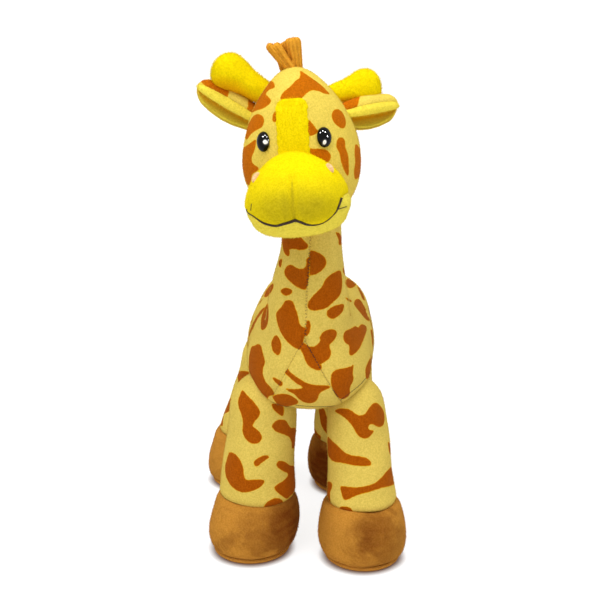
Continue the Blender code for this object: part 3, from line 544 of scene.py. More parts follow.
# Seams and the mouth, as picture places
CHEST_SEAM = ((311, 228), (310, 245), (309, 266), (307, 289), (306, 318), (305, 341))
GUSSET_SEAM_LEFT = ((305, 341), (313, 355), (324, 375), (335, 393), (347, 409))
GUSSET_SEAM_RIGHT = ((304, 342), (296, 353), (287, 370), (272, 397))
LEG_SEAM_LEFT = ((341.0, 399.5), (351.0, 392.0), (360.0, 384.5), (366.0, 378.0))
LEG_SEAM_RIGHT = (
    (251.5, 388.0), (261.0, 395.5), (267.0, 399.5), (275.0, 403.0), (284.0, 406.0), (294.0, 407.0),
)
BELLY_SEAM = ((296.0, 405.0), (308.0, 406.2), (320.0, 406.6), (333.0, 405.8), (344.0, 404.0))
MOUTH_LINE = (
    (246.8, 209.0), (248.0, 212.4), (253.5, 216.0), (259.7, 220.3), (265.8, 223.4), (275.7, 225.3),
    (284.3, 223.4), (290.5, 221.6), (295.2, 220.3), (300.4, 221.6), (306.5, 224.0), (313.9, 224.7),
    (321.3, 223.4), (328.7, 219.1), (334.9, 212.9), (338.0, 206.8), (339.8, 201.8), (341.1, 198.1),
)
# The mouth thread's radius along it: thicker where the shade under the upper lip is darkest, so the thread
# partly paints that shade
MOUTH_THREAD_ALONG_SHARES = (0.0, 0.12, 0.22, 0.45, 0.60, 0.70, 0.80, 0.88, 1.0)
MOUTH_THREAD_AND_SHADE_RADII = (0.0005, 0.0004, 0.0009, 0.0011, 0.0009, 0.0005, 0.0004, 0.0009, 0.0011)
EYE_DOT_SPOTS = {"left": (324.7, 142.2), "right": (265.0, 142.0)}
NOSTRIL_SPOTS = {"left": (329.6, 168.3), "right": (256.2, 177.6)}
UPPER_LIP_REGION = (
    (150.0, 100.0), (150.0, 208.0), *MOUTH_LINE, (345.0, 192.5), (352.0, 187.5), (450.0, 170.0),
     (450.0, 100.0),
)
LIP_SEAM = ((291.8, 179.0), (292.4, 190.0), (293.0, 205.0), (294.6, 220.5))
# Dark lines of painted shade in the creases at the mouth's corners
LIP_CREASE = ((338.0, 209.2), (342.0, 208.0), (346.5, 206.5))
CORNER_SHADE_LINE = ((251.0, 210.5), (251.2, 207.0), (251.6, 203.7))
MOUTH_THREAD_LIFT = 0.0002
CREASE_SHADE_LIFT = 0.0001
CREASE_SHADE_RADIUS = 0.0003
THREAD_STEPS = 6

# Stitches: gap between them, length, width, slant
STITCH_STEPS = 40
STITCH_LIFT = 0.00005
COAT_STITCHES = (
    ("chest_stitches", CHEST_SEAM, (0.0020, 0.0022, 0.00075, 0.9)),
    ("gusset_stitches_left", GUSSET_SEAM_LEFT, (0.0017, 0.0019, 0.00075, 0.35)),
    ("gusset_stitches_right", GUSSET_SEAM_RIGHT, (0.0019, 0.0018, 0.00050, 0.2)),
)
DARK_STITCH = (0.0015, 0.0017, 0.00060, 0.10)
DARK_STITCHES = (
    ("leg_stitches_left", LEG_SEAM_LEFT),
    ("leg_stitches_right", LEG_SEAM_RIGHT),
    ("belly_stitches", BELLY_SEAM),
)

# Which outlines each leg and each ear's back show, in which view
LEG_PRINTS = {
    "front_right": (LEFT_LEG_VIEW, FRONT_RIGHT_LEG_SPOTS),
    "front_left": (RIGHT_LEG_VIEW, FRONT_LEFT_LEG_SPOTS),
    "rear_right": (LEFT_LEG_VIEW, REAR_RIGHT_LEG_SPOTS),
    "rear_left": (RIGHT_LEG_VIEW, REAR_LEFT_LEG_SPOTS),
}
EAR_PRINTS = {"left": (RIGHT_EAR_VIEW, RIGHT_EAR_SPOTS), "right": (LEFT_EAR_VIEW, LEFT_EAR_SPOTS)}

# Where the hooves are painted darker, as painted shade on their sides away from the light and as their nap:
# picture place, half width, half height, share
HOOF_SHADE_AND_NAP_PATCHES = (
    (286, 526, 21, 34, 0.80),
    (299, 520, 13, 34, 0.60),
    (257, 531, 22, 22, 0.42),
    (227, 542, 9, 8, 0.45),
    (262, 550, 17, 6, 0.30),
    (376, 539, 26, 29, 0.60),
    (367, 536, 10, 22, 0.42),
    (384, 522, 13, 15, 0.30),
    (322, 468, 17, 34, 1.00),
)

# Colours, as the render should show them
CREAM = (0.885, 0.775, 0.350)
HEAD_CREAM = (0.940, 0.830, 0.335)
SPOT = (0.685, 0.325, 0.000)
HEAD_SPOT = (0.800, 0.415, 0.000)
SPOT_RIM = (0.860, 0.600, 0.030)
YELLOW = (0.990, 0.890, 0.000)
LINING_YELLOW = (1.000, 0.920, 0.300)
# Painted shade: the deeper orange of the ear's hollow
LINING_HOLLOW_SHADE = (1.000, 0.740, 0.020)
# Painted shade: the duller yellow on the lower muzzle and along its middle seam
YELLOW_PAINTED_SHADE = (0.750, 0.670, 0.060)
# Painted shade: the orange on the horns' undersides
YELLOW_UNDERSIDE_SHADE = (0.960, 0.660, 0.000)
# Painted shade and nap: the darker brown on the hooves' sides away from the light
HOOF_SHADE_AND_NAP = (0.420, 0.180, 0.010)
SOLE_BROWN = (0.780, 0.530, 0.200)
PALE_YELLOW = (0.960, 0.890, 0.300)
HOOF_BROWN = (0.765, 0.520, 0.180)
MANE_BROWN = (0.930, 0.650, 0.180)
# Painted shade: the dark brown in the folds of the mane and the tail's tuft
MANE_FOLD_SHADE = (0.500, 0.250, 0.010)
THREAD_DARK = (0.200, 0.110, 0.020)
THREAD_TAN = (0.800, 0.660, 0.280)
PEACH = (0.975, 0.770, 0.520)
EYE_BLACK = (0.010, 0.009, 0.008)
EYE_RING_GREY = (0.420, 0.420, 0.420)
EYE_DOT_WHITE = (0.960, 0.960, 0.950)
WASHER_WHITE = (0.800, 0.800, 0.780)
WHITE = (1.0, 1.0, 1.0)

# Studio. A lamp has a direction that it shines from, a strength and an angle.
FLOOR_HALF_WIDTH = 30.0
FLOOR_DROP = 0.0002
FLOOR_GLOW = 0.82
FLOOR_LIT = (0.90, 0.89, 0.88)
FLOOR_FACE = (0.56, 0.56, 0.56)
# Painted contact shadow: the floor's glow that the camera sees turns to this colour close under the feet
CONTACT_SHADOW_TINT = (0.36, 0.24, 0.18)
CONTACT_REACH = 0.0075
WORLD_LIGHT = 0.37
LAMPS = (
    ("key", (-0.60, -0.90, 0.95), 0.85, math.radians(35.0)),
    ("top", (0.00, -0.20, 1.00), 2.55, math.radians(60.0)),
    ("fill", (0.90, -0.80, 0.45), 0.20, math.radians(50.0)),
)

# Small lamps that only glint in the glossy eyes
SPARKLE_PLACES = ((0.05, -0.35, 1.00), (0.60, -0.40, 0.85), (1.00, -0.40, 0.35), (-0.55, -0.45, 0.80))
SPARKLE_POWER = 8.5
SPARKLE_ANGLE = math.radians(9.0)

LYING = Matrix(((1, 0, 0), (0, 0, 1), (0, -1, 0)))
UPRIGHT = Matrix.Identity(3)
SIDES = (("left", 1), ("right", -1))
SHIFT = Matrix.Translation((SHIFT_X, SHIFT_Y, 0))
VIEW_FORWARD = np.array((0, math.cos(CAMERA_PITCH), -math.sin(CAMERA_PITCH)))
VIEW_UP = np.array((0, math.sin(CAMERA_PITCH), math.cos(CAMERA_PITCH)))


def linear(colour):
    """A colour as seen, in the linear values that the shaders take."""
    return tuple(c / 12.92 if c <= 0.04045 else ((c + 0.055) / 1.055) ** 2.4 for c in colour)


# Placing
def moved(x, y, z):
    return Matrix.Translation((x, y, z))


def turned(x, y, z):
    return Euler((x, y, z)).to_matrix().to_4x4()


def placed(obj, matrix):
    obj.data.transform(matrix)
    return obj


HEAD_FRAME = SHIFT @ moved(NECK_X, NECK_Y, HEAD_PIVOT_HEIGHT) @ turned(0, -HEAD_LEAN, -HEAD_TURN)
NECK_FRAME = SHIFT @ moved(NECK_X, NECK_Y, NECK_FOOT_HEIGHT)
SKULL_FRAME = HEAD_FRAME @ moved(0, 0, HEAD_DROP)
TAIL_FRAME = SHIFT @ moved(*TAIL_ROOT) @ Matrix.Rotation(TAIL_SLANT, 4, "X")


# Meshes
def show(name, data):
    made = bpy.data.objects.new(name, data)
    bpy.context.scene.collection.objects.link(made)
    return made


def from_points(name, points, faces=()):
    mesh = bpy.data.meshes.new(name)
    mesh.from_pydata([tuple(p) for p in points], [], [tuple(f) for f in faces])
    mesh.update()
    return show(name, mesh)


def from_bmesh(name, bm):
    mesh = bpy.data.meshes.new(name)
    bm.to_mesh(mesh)
    bm.free()
    return show(name, mesh)


def face_outward(obj):
    bm = bmesh.new()
    bm.from_mesh(obj.data)
    bmesh.ops.recalc_face_normals(bm, faces=bm.faces)
    bm.to_mesh(obj.data)
    bm.free()
    return obj


def baked(obj):
    """The object with its modifiers made real."""
    graph = bpy.context.evaluated_depsgraph_get()
    mesh = bpy.data.meshes.new_from_object(obj.evaluated_get(graph))
    obj.modifiers.clear()
    obj.data = mesh
    return obj


def rows_of(items, key, width=3, kind=float):
    """What each of a mesh's items keeps under a key, as rows of numbers."""
    found = np.empty(len(items) * width, dtype=kind)
    items.foreach_get(key, found)
    return found.reshape(-1, width)


def places(obj):
    return rows_of(obj.data.vertices, "co")


def outward(obj):
    return rows_of(obj.data.vertices, "normal")


def neighbours(obj):
    return rows_of(obj.data.edges, "vertices", 2, np.int32)


def tree_of(obj):
    obj.data.calc_loop_triangles()
    corners = rows_of(obj.data.loop_triangles, "vertices", 3, np.int32)
    return BVHTree.FromPolygons(places(obj).tolist(), corners.tolist())


def move_to(obj, points):
    obj.data.vertices.foreach_set("co", np.asarray(points, dtype=np.float32).ravel())
    obj.data.update()
    return obj


def store(obj, name, values, kind="FLOAT", key="value"):
    """Keeps a number or a direction on each point."""
    attribute = obj.data.attributes.new(name, kind, "POINT")
    attribute.data.foreach_set(key, np.asarray(values, dtype=np.float32).ravel())


def paint(obj, material):
    obj.data.materials.clear()
    obj.data.materials.append(material)


def finish_mesh(obj, material):
    paint(obj, material)
    obj.data.shade_smooth()
    return obj


def ring(axes, centre, half_width, front, back, sides, squareness=1.0):
    """Points round one oval section, widened so that the softened form keeps the stated size."""
    fullness = 1 / math.cos(math.pi / sides)
    points = []
    for k in range(sides):
        angle = 2 * math.pi * k / sides
        across, deep = (math.copysign(abs(v) ** squareness, v) for v in (math.cos(angle), math.sin(angle)))
        local = Vector((half_width * across, (back if deep > 0 else front) * deep, 0)) * fullness
        points.append(Vector(centre) + axes @ local)
    return points


def round_ring(centre, radius, sides):
    return ring(UPRIGHT, centre, radius, radius, radius, sides)


def ball_rings(radius, angles, sides):
    """The rings of a rounded upper end."""
    return [round_ring((0, 0, radius * math.sin(angle)), radius * math.cos(angle), sides) for angle in angles]


def softened(name, rings, levels, first_tip=None, last_tip=None):
    """A soft, dense surface through rings of points. An end with no tip is flat, with a creased rim."""
    bm = bmesh.new()
    crease = bm.edges.layers.float.new("crease_edge")
    loops = [[bm.verts.new(point) for point in points] for points in rings]
    for low, high in zip(loops, loops[1:]):
        for corners in zip(low, low[1:] + low[:1], high[1:] + high[:1], high):
            bm.faces.new(corners)
    for loop, tip in ((loops[0], first_tip), (loops[-1], last_tip)):
        if tip is None:
            for edge in bm.faces.new(loop).edges:
                edge[crease] = 1
        else:
            end = bm.verts.new(tip)
            for a, b in zip(loop, loop[1:] + loop[:1]):
                bm.faces.new((a, b, end))
    bmesh.ops.recalc_face_normals(bm, faces=bm.faces)
    obj = from_bmesh(name, bm)
    modifier = obj.modifiers.new("soften", "SUBSURF")
    modifier.levels = levels
    modifier.render_levels = levels
    return baked(obj)


def stuffed(name, shares, size, sides, levels, axes=UPRIGHT, squareness=1.0):
    """A stuffed form with rounded ends, from rows of shares of its length, width and depth."""
    width, depth, length = size
    top = axes @ Vector((0, 0, length))
    rings = []
    for along, wide, *deep in shares:
        front, back = (share * depth / 2 for share in deep or (wide, wide))
        rings.append(ring(axes, top * along, wide * width / 2, front, back, sides, squareness))
    return softened(name, rings, levels, (0, 0, 0), top)


def skinned(name, rings):
    """A closed skin through equal rings of points, with a flat face at each end."""
    count = len(rings[0])
    faces = []
    for low in range(0, (len(rings) - 1) * count, count):
        for j in range(count):
            after = low + (j + 1) % count
            faces.append((low + j, after, after + count, low + j + count))
    faces.append(tuple(reversed(range(count))))
    faces.append(tuple(range((len(rings) - 1) * count, len(rings) * count)))
    return from_points(name, [point for points in rings for point in points], faces)


def tube(name, path, radii):
    """A thread along a path of points, with closed ends."""
    rings = []
    side = None
    for k, centre in enumerate(path):
        run = (path[min(k + 1, len(path) - 1)] - path[max(k - 1, 0)]).normalized()
        if side is None:
            side = run.orthogonal().normalized()
        side = (side - run * side.dot(run)).normalized()
        other = run.cross(side)
        angles = [2 * math.pi * j / THREAD_SIDES for j in range(THREAD_SIDES)]
        rings.append([centre + (side * math.cos(a) + other * math.sin(a)) * radii[k] for a in angles])
    return skinned(name, rings)


def joined(name, objects):
    """Several meshes as one object."""
    bm = bmesh.new()
    for obj in objects:
        bm.from_mesh(obj.data)
        bpy.data.objects.remove(obj, do_unlink=True)
    return from_bmesh(name, bm)


def one_skin(name, objects, voxel):
    """Several closed forms filled out as one skin of small, even faces."""
    body = joined(name, objects)
    modifier = body.modifiers.new("one skin", "REMESH")
    modifier.mode = "VOXEL"
    modifier.voxel_size = voxel
    return baked(body)


# Shape of the cloth
def unit(values):
    return np.clip(values, 0, 1)


def bell(away, reach):
    """1 at no distance, and less and less from there to reach and beyond."""
    return np.exp(-((away / reach) ** 2))


def random_direction(rng):
    direction = rng.normal(size=3)
    return direction / np.linalg.norm(direction)


def waves(points, size, seed):
    """A smooth random value from about -1 to 1 at each point, whose lumps are about size across."""
    rng = np.random.default_rng(seed)
    total = np.zeros(len(points))
    for _ in range(WAVE_COUNT):
        direction = random_direction(rng)
        stretch = rng.uniform(*WAVE_STRETCH_SHARES)
        turns = points @ direction / size / WAVE_LENGTH_SHARE * stretch
        total += np.sin(2 * math.pi * turns + rng.uniform(0, 2 * math.pi))
    return total / math.sqrt(WAVE_COUNT)


def swell(obj, amounts):
    move_to(obj, places(obj) + outward(obj) * np.asarray(amounts)[:, None])


def lumps(obj, kind, step=0):
    """Presses the uneven filling of one kind of piece into its skin."""
    height, size, seed = LUMPS[kind]
    swell(obj, height * waves(places(obj), size, seed + step))
    return obj


def averaged(values, edges, rounds, share):
    """Values spread over the mesh: each point moves towards the mean of its neighbours."""
    count = len(values)
    degree = np.maximum(np.bincount(edges.ravel(), minlength=count), 1)
    columns = [column.copy() for column in values.reshape(count, -1).T]
    for _ in range(rounds):
        for column in columns:
            sums = np.bincount(edges[:, 0], column[edges[:, 1]], minlength=count)
            sums += np.bincount(edges[:, 1], column[edges[:, 0]], minlength=count)
            column += (sums / degree - column) * share
    return np.stack(columns, axis=1).reshape(values.shape)


def smoothed(obj, rounds, share):
    return move_to(obj, averaged(places(obj), neighbours(obj), rounds, share))


def near_run(points, a, b):
    """How far along the run from a to b each point lies, from 0 to 1, and how far from it."""
    run = b - a
    along = unit((points - a) @ run / max(run @ run, TINY))
    return along, np.linalg.norm(points - a - along[:, None] * run, axis=1)


def press_seam(obj, path, depth, width):
    """Pulls the cloth in along a seam and lets it swell beside it."""
    path = np.array(path)
    away = np.min([near_run(places(obj), a, b)[1] for a, b in zip(path, path[1:])], axis=0)
    beside = bell(away - SEAM_SWELL_PLACE_SHARE * width, SEAM_SWELL_REACH_SHARE * width)
    swell(obj, depth * (SEAM_SWELL_SHARE * beside - bell(away, width)))


# The photograph's view
def picture_places(points):
    """Where points fall in the picture, and how many pixels a metre takes there."""
    reach = points - np.array(CAMERA_PLACE)
    per_metre = CAMERA_FOCAL_PIXELS / (reach @ VIEW_FORWARD)
    x = PICTURE_PIXELS / 2 + per_metre * reach[:, 0]
    y = PICTURE_PIXELS / 2 - per_metre * (reach @ VIEW_UP)
    return np.stack((x, y), axis=1), per_metre


def facing_camera(obj):
    """The direction from each point to the camera, and how squarely the surface faces it."""
    sight = np.array(CAMERA_PLACE) - places(obj)
    sight /= np.linalg.norm(sight, axis=1, keepdims=True)
    return sight, (sight * outward(obj)).sum(1)


def cast(spot, *trees):
    """The nearest surface point behind a place in the picture, with its normal."""
    across, down = (np.array(spot) - PICTURE_PIXELS / 2) / CAMERA_FOCAL_PIXELS
    run = Vector(VIEW_FORWARD) + Vector((across, 0, 0)) - Vector(VIEW_UP) * down
    hits = [tree.ray_cast(CAMERA_PLACE, run.normalized()) for tree in trees]
    hits = [hit for hit in hits if hit[0] is not None]
    return min(hits, key=lambda hit: hit[3])[:2] if hits else (None, None)


def spline(points, steps, closed=False):
    """A smooth line through 2-D or 3-D points."""
    points = np.array(points, dtype=float)
    count = len(points)
    line = []
    for k in range(count if closed else count - 1):
        near = np.arange(k - 1, k + 3)
        a, b, c, d = points[near % count if closed else np.clip(near, 0, count - 1)]
        for t in np.arange(steps) / steps:
            curve = (2 * a - 5 * b + 4 * c - d) * t**2 + (3 * b - a - 3 * c + d) * t**3
            line.append((2 * b + (c - a) * t + curve) / 2)
    return np.array(line if closed else [*line, points[-1]])


def cast_path(spots, steps, lift, *trees):
    """A picture line laid on the surface: points and normals."""
    hits = [cast(spot, *trees) for spot in spline(spots, steps)]
    hits = [(place + normal * lift, normal) for place, normal in hits if place is not None]
    return [place for place, _ in hits], [normal for _, normal in hits]


# Printed coat
def inside_depth(spots, outline):
    """Signed distance to a closed outline: positive inside."""
    best = np.full(len(spots), np.inf)
    inside = np.zeros(len(spots), dtype=bool)
    for a, b in zip(outline, np.roll(outline, -1, axis=0)):
        best = np.minimum(best, near_run(spots, a, b)[1])
        crosses = (a[1] > spots[:, 1]) != (b[1] > spots[:, 1])
        level = a[0] + (spots[:, 1] - a[1]) * (b[0] - a[0]) / (b[1] - a[1] or TINY)
        inside ^= crosses & (spots[:, 0] < level)
    return np.where(inside, best, -best)


def seen_print(points, view, outlines):
    """How deep inside a spot each point lies in the picture, in metres; negative outside."""
    spots, per_metre = picture_places(points)
    best = np.full(len(points), -PRINT_MARGIN_PIXELS)
    for outline in outlines:
        line = spline(outline, PRINT_STEPS, closed=True) / view[2] + np.array(view[:2])
        near = (spots > line.min(0) - PRINT_MARGIN_PIXELS) & (spots < line.max(0) + PRINT_MARGIN_PIXELS)
        near = near.all(axis=1)
        if near.any():
            best[near] = np.maximum(best[near], inside_depth(spots[near], line))
    return best / per_metre


def scattered_print(points, seed, spacing, radius):
    """Spots strewn over a surface at random: how deep inside one each point lies."""
    rng = np.random.default_rng(seed)
    chosen = []
    for place in points[rng.permutation(len(points))[:SCATTER_TRIES]]:
        if all(np.linalg.norm(place - other) > spacing for other in chosen):
            chosen.append(place)
    best = np.full(len(points), -SCATTER_EMPTY_DEPTH)
    for centre in chosen:
        direction = random_direction(rng)
        bend = random_direction(rng)
        reach = spacing * rng.uniform(*SCATTER_REACH_SHARES)
        line = (centre - direction * reach, centre, centre + (direction + bend * SCATTER_BEND_SHARE) * reach)
        sizes = radius * rng.uniform(*SCATTER_SIZE_SHARES, size=3)
        for a, b, size_a, size_b in zip(line, line[1:], sizes, sizes[1:]):
            along, away = near_run(points, a, b)
            depth = size_a + (size_b - size_a) * along - away
            overlap = np.maximum(SCATTER_BLEND - abs(depth - best), 0)
            best = np.maximum(depth, best) + overlap**2 / (4 * SCATTER_BLEND)
    return best


def seen_share(obj, trees):
    """1 where the camera sees the surface, 0 where it doesn't, and soft between."""
    points, normals = places(obj), outward(obj)
    sight, facing = facing_camera(obj)
    seen = np.zeros(len(points))
    for k in np.nonzero(facing > SEEN_FACING_SHARE)[0]:
        start = Vector(points[k] + normals[k] * SEEN_LIFT)
        seen[k] = all(tree.ray_cast(start, Vector(sight[k]))[0] is None for tree in trees)
    return unit(averaged(seen, neighbours(obj), 6, 0.6) * 3.0 - 0.3)


def evened(obj, depth):
    """The depth inside a spot with its slow slopes made steeper, so that each rim is as thin as another."""
    edges = neighbours(obj)
    points = places(obj)
    length = np.linalg.norm(points[edges[:, 0]] - points[edges[:, 1]], axis=1)
    rate = np.abs(depth[edges[:, 0]] - depth[edges[:, 1]]) / np.maximum(length, SHORT_EDGE)
    slope = np.zeros(len(depth))
    for end in (0, 1):
        np.maximum.at(slope, edges[:, end], rate)
    return depth / np.clip(averaged(slope, edges, 4, 0.5), 0.2, 1)


def print_coat(obj, kind, step, view, outlines, trees):
    """Stores on each point how deep inside a spot it lies, in millimetres."""
    seed, spacing, radius = PRINTS[kind]
    share = seen_share(obj, trees)
    seen = seen_print(places(obj), view, outlines) - PRINT_FADE * (1 - share)
    hidden = scattered_print(places(obj), seed + step, spacing, radius) - PRINT_FADE * share
    store(obj, "print", evened(obj, np.maximum(seen, hidden)) * MILLIMETRES)


# Painted shade, and the nap of the hooves
def brush_hoof(obj):
    """Stores painted shade on the hooves' sides away from the light, where they face the camera, with streaks
    of their nap.
    """
    points = places(obj)
    spots, _ = picture_places(points)
    streaks = waves(points * HOOF_STREAK_SHARES, *HOOF_STREAK_WAVES)
    ragged = sum(pixels * waves(points, size, seed) for pixels, size, seed in HOOF_RAGGED_WAVES)
    facing = unit(facing_camera(obj)[1] * 4)
    light = np.ones(len(spots))
    for x, y, wide, high, share in HOOF_SHADE_AND_NAP_PATCHES:
        away = ((spots[:, 0] + ragged - x) / wide) ** 2 + ((spots[:, 1] - ragged - y) / high) ** 2
        light *= 1 - share * facing * np.exp(-(away**2) * (1 + 0.35 * streaks))
    store(obj, "nap", unit(1 - light + 0.07 * streaks))


def brush_muzzle(obj):
    """Stores painted shade on the muzzle: darker on the fronts of the lips below their lit tops, paler
    towards its rims, and along the middle seam.
    """
    spots, _ = picture_places(places(obj))
    facing = unit(facing_camera(obj)[1])
    low = unit((spots[:, 1] - MUZZLE_SHADE_TOP) / MUZZLE_SHADE_HEIGHT)
    patches = 0.06 * waves(places(obj), *MUZZLE_SHADE_WAVES)
    nap = low * low * (3 - 2 * low) * facing**1.2 * (1 + patches)
    seam = np.array(LIP_SEAM)
    aside = spots[:, 0] - np.interp(spots[:, 1], seam[:, 1], seam[:, 0])
    along = unit((spots[:, 1] - seam[0, 1]) / LIP_SEAM_SHADE_FADE)
    nap += 0.85 * along * bell(aside, LIP_SEAM_SHADE_WIDTH) * (facing > 0)
    store(obj, "nap", unit(nap))


def brush_lining(obj, to_row):
    """Stores painted shade where the cloth lies deep in the ear's hollow."""
    back = np.array(to_row.inverted())
    local = (places(obj) @ back[:3, :3].T + back[:3, 3]) / (EAR_WIDTH / 2)
    store(obj, "nap", unit((0.30 + local[:, 1]) / 0.35) * unit((local[:, 2] + 0.72) / 0.30))


def shade_folds(obj, depth):
    """Stores where the surface lies in a fold, against a smoothed copy of itself."""
    points = places(obj)
    smooth = averaged(points, neighbours(obj), 14, 0.5)
    store(obj, "nap", unit(((smooth - points) * outward(obj)).sum(1) / depth))


def brush_under(obj):
    """Stores painted shade where the surface faces down, which turns the yellow orange."""
    store(obj, "nap", unit(-outward(obj)[:, 2] * 1.1 - 0.1))


# Body, neck, legs and tail
def make_coat_body():
    """Torso and neck in one sewn skin, filled out where the chest runs into the neck."""
    cloth = SKIN_SIDES, FORM_LEVELS
    torso = stuffed("torso_form", TORSO_SHARES, TORSO_SIZE, *cloth, LYING, TORSO_SQUARENESS_SHARE)
    placed(torso, SHIFT @ moved(0, TORSO_CHEST_Y, TORSO_CENTRE_HEIGHT) @ turned(0, 0, TORSO_TURN))
    neck = stuffed("neck_form", NECK_SHARES, (NECK_WIDTH, NECK_WIDTH, NECK_LENGTH), *cloth)
    placed(neck, NECK_FRAME)
    trees = tree_of(torso), tree_of(neck)
    body = one_skin("coat_body", [torso, neck], COAT_VOXEL)
    away = np.array([sum(tree.find_nearest(point)[3] for tree in trees) for point in places(body)])
    smoothed(body, 60, unit(0.03 + bell(away, NECK_FILLET)))
    points = places(body)
    points[:, 0] += NECK_SWAY * bell(points[:, 2] - NECK_SWAY_HEIGHT, NECK_SWAY_REACH)
    return lumps(move_to(body, points), "body")


def tuck_edge(obj, height, depth, reach):
    """Draws a sewn edge in towards the piece's middle, at that height."""
    points = places(obj)
    share = bell(points[:, 2] - height, reach)
    inward = points[share > 0.5].mean(0) - points
    inward[:, 2] = 0
    length = np.maximum(np.linalg.norm(inward, axis=1, keepdims=True), SHORT_EDGE)
    return move_to(obj, points + inward / length * np.minimum(depth * share[:, None], length))


def make_leg(node, place_name, step):
    hip, ankle, _, _ = LEG_PLACES[place_name]
    fullness = LEG_FULLNESS_SHARES[place_name]
    rings = ball_rings(HIP_RADIUS * fullness, HIP_BALL_ANGLES, LEG_SIDES)
    down = Vector((ankle[0] - hip[0], ankle[1] - hip[1], HOOF_SEAM_HEIGHT - HIP_HEIGHT))
    for along, share in SHAFT_SHARES:
        radius = (HIP_RADIUS + (ANKLE_RADIUS - HIP_RADIUS) * share) * fullness
        rings.append(round_ring(down * along, radius, LEG_SIDES))
    leg = softened(node + "_skin", rings, SKIN_LEVELS, (0, 0, HIP_RADIUS * fullness))
    lumps(placed(leg, SHIFT @ moved(*hip, HIP_HEIGHT)), "leg", step)
    return tuck_edge(leg, HOOF_SEAM_HEIGHT, *LEG_TUCK)


def foot_piece(kind, place_name, shares, bottom, top):
    """A hoof or a sole, through rows of shares of its height, width, length and lean to the toe."""
    hip, ankle, foot, toe_out = LEG_PLACES[place_name]
    axes = Matrix.Rotation(math.copysign(toe_out, hip[0]), 3, "Z")
    fullness = HOOF_FULLNESS_SHARES[place_name] / 2
    rings = []
    for up, wide, long, forward in shares:
        middle = Vector(ankle).lerp(Vector(foot), forward)
        centre = Vector((*middle, bottom + (top - bottom) * up))
        centre += axes @ Vector((0, -TOE_FORWARD * forward, 0))
        half_length = long * HOOF_LENGTH * fullness
        rings.append(ring(axes, centre, wide * HOOF_WIDTH * fullness, half_length, half_length, LEG_SIDES))
    return placed(softened(kind + place_name + "_skin", rings, SKIN_LEVELS), SHIFT)


def make_hoof(place_name, step):
    hoof = foot_piece("hoof_", place_name, HOOF_SHARES, SOLE_THICKNESS, HOOF_SEAM_HEIGHT)
    tuck_edge(lumps(hoof, "hoof", step), HOOF_SEAM_HEIGHT, *HOOF_TOP_TUCK)
    return tuck_edge(hoof, SOLE_THICKNESS, *HOOF_FOOT_TUCK)


def make_sole(place_name):
    sole = foot_piece("sole_", place_name, SOLE_SHARES, 0, SOLE_THICKNESS)
    return tuck_edge(sole, SOLE_THICKNESS, *SOLE_TUCK)


def make_tail():
    rings = ball_rings(TAIL_RADIUS, TAIL_BALL_ANGLES, SMALL_SIDES)
    for along in TAIL_RING_SHARES:
        rings.append(round_ring((0, 0, -TAIL_LENGTH * along), TAIL_RADIUS, SMALL_SIDES))
    return placed(softened("tail_skin", rings, SKIN_LEVELS, (0, 0, TAIL_RADIUS)), TAIL_FRAME)


def make_tail_tuft():
    size = (TAIL_TUFT_WIDTH, TAIL_TUFT_WIDTH, TAIL_TUFT_LENGTH)
    tuft = stuffed("tail_tuft_skin", TAIL_TUFT_SHARES, size, SMALL_SIDES, SKIN_LEVELS)
    x, y, z = places(tuft).T
    swell(tuft, TAIL_RIB_HEIGHT * np.sin(np.arctan2(y, x) * TAIL_RIBS + z * TAIL_RIB_TWIST))
    return placed(tuft, TAIL_FRAME @ moved(0, 0, -TAIL_LENGTH - TAIL_TUFT_LENGTH))


# Head
def make_head():
    head = stuffed("head_skin", HEAD_SHARES, HEAD_SIZE, SKIN_SIDES, SKIN_LEVELS)
    return lumps(placed(head, SKULL_FRAME), "head")


def snout_piece(name, above):
    """The part of the snout above or below the mouth line. Its hidden part is drawn in behind the other."""
    forms = []
    for shares, size, place in (
        (MUZZLE_SHARES, MUZZLE_SIZE, MUZZLE_PLACE),
        (JAW_SHARES, JAW_SIZE, JAW_PLACE),
    ):
        form = stuffed("form", shares, size, SKIN_SIDES, FORM_LEVELS)
        forms.append(placed(form, HEAD_FRAME @ moved(*place)))
    piece = smoothed(one_skin(name, forms, SNOUT_VOXEL), 24, 0.7)
    spots, per_metre = picture_places(places(piece))
    depth = inside_depth(spots, np.array(UPPER_LIP_REGION)) / per_metre
    depth = depth + UPPER_LIP_OVERHANG if above else -depth
    roll, share = UPPER_LIP_ROLL if above else LOWER_LIP_ROLL
    near = unit(1 - depth / roll)
    tuck = roll * (1 - np.sqrt(unit(1 - near**2))) * share
    tuck += np.clip(-depth, 0, LIP_HIDDEN_DEPTH) * LIP_HIDDEN_SHARE
    swell(piece, -tuck)
    return smoothed(piece, 3, 0.5)


def make_muzzle():
    """The yellow upper snout: two lips, each fullest in its middle."""
    muzzle = snout_piece("muzzle_skin", True)
    tree = tree_of(muzzle)
    points = places(muzzle)
    centres = [np.array(cast(spot, tree)[0]) for spot in LIP_SWELL_SPOTS]
    away = [np.linalg.norm(points - centre, axis=1) for centre in centres]
    swell(muzzle, LIP_SWELL * sum(bell(far, LIP_SWELL_REACH) for far in away))
    return lumps(muzzle, "muzzle")


def blaze_half_width(height):
    """Half width of the forehead panel at a height, with its round top and its uneven sides."""
    rise = max((height - (BLAZE_TOP_Z - BLAZE_SHOULDER)) / BLAZE_SHOULDER, 0)
    waver = 1 + sum(share * math.sin(height * rate + turn) for share, rate, turn in BLAZE_WAVERS)
    return waver * BLAZE_HALF_WIDTH * max(1 - rise**BLAZE_ROUNDNESS, 0) ** (1 / BLAZE_ROUNDNESS)


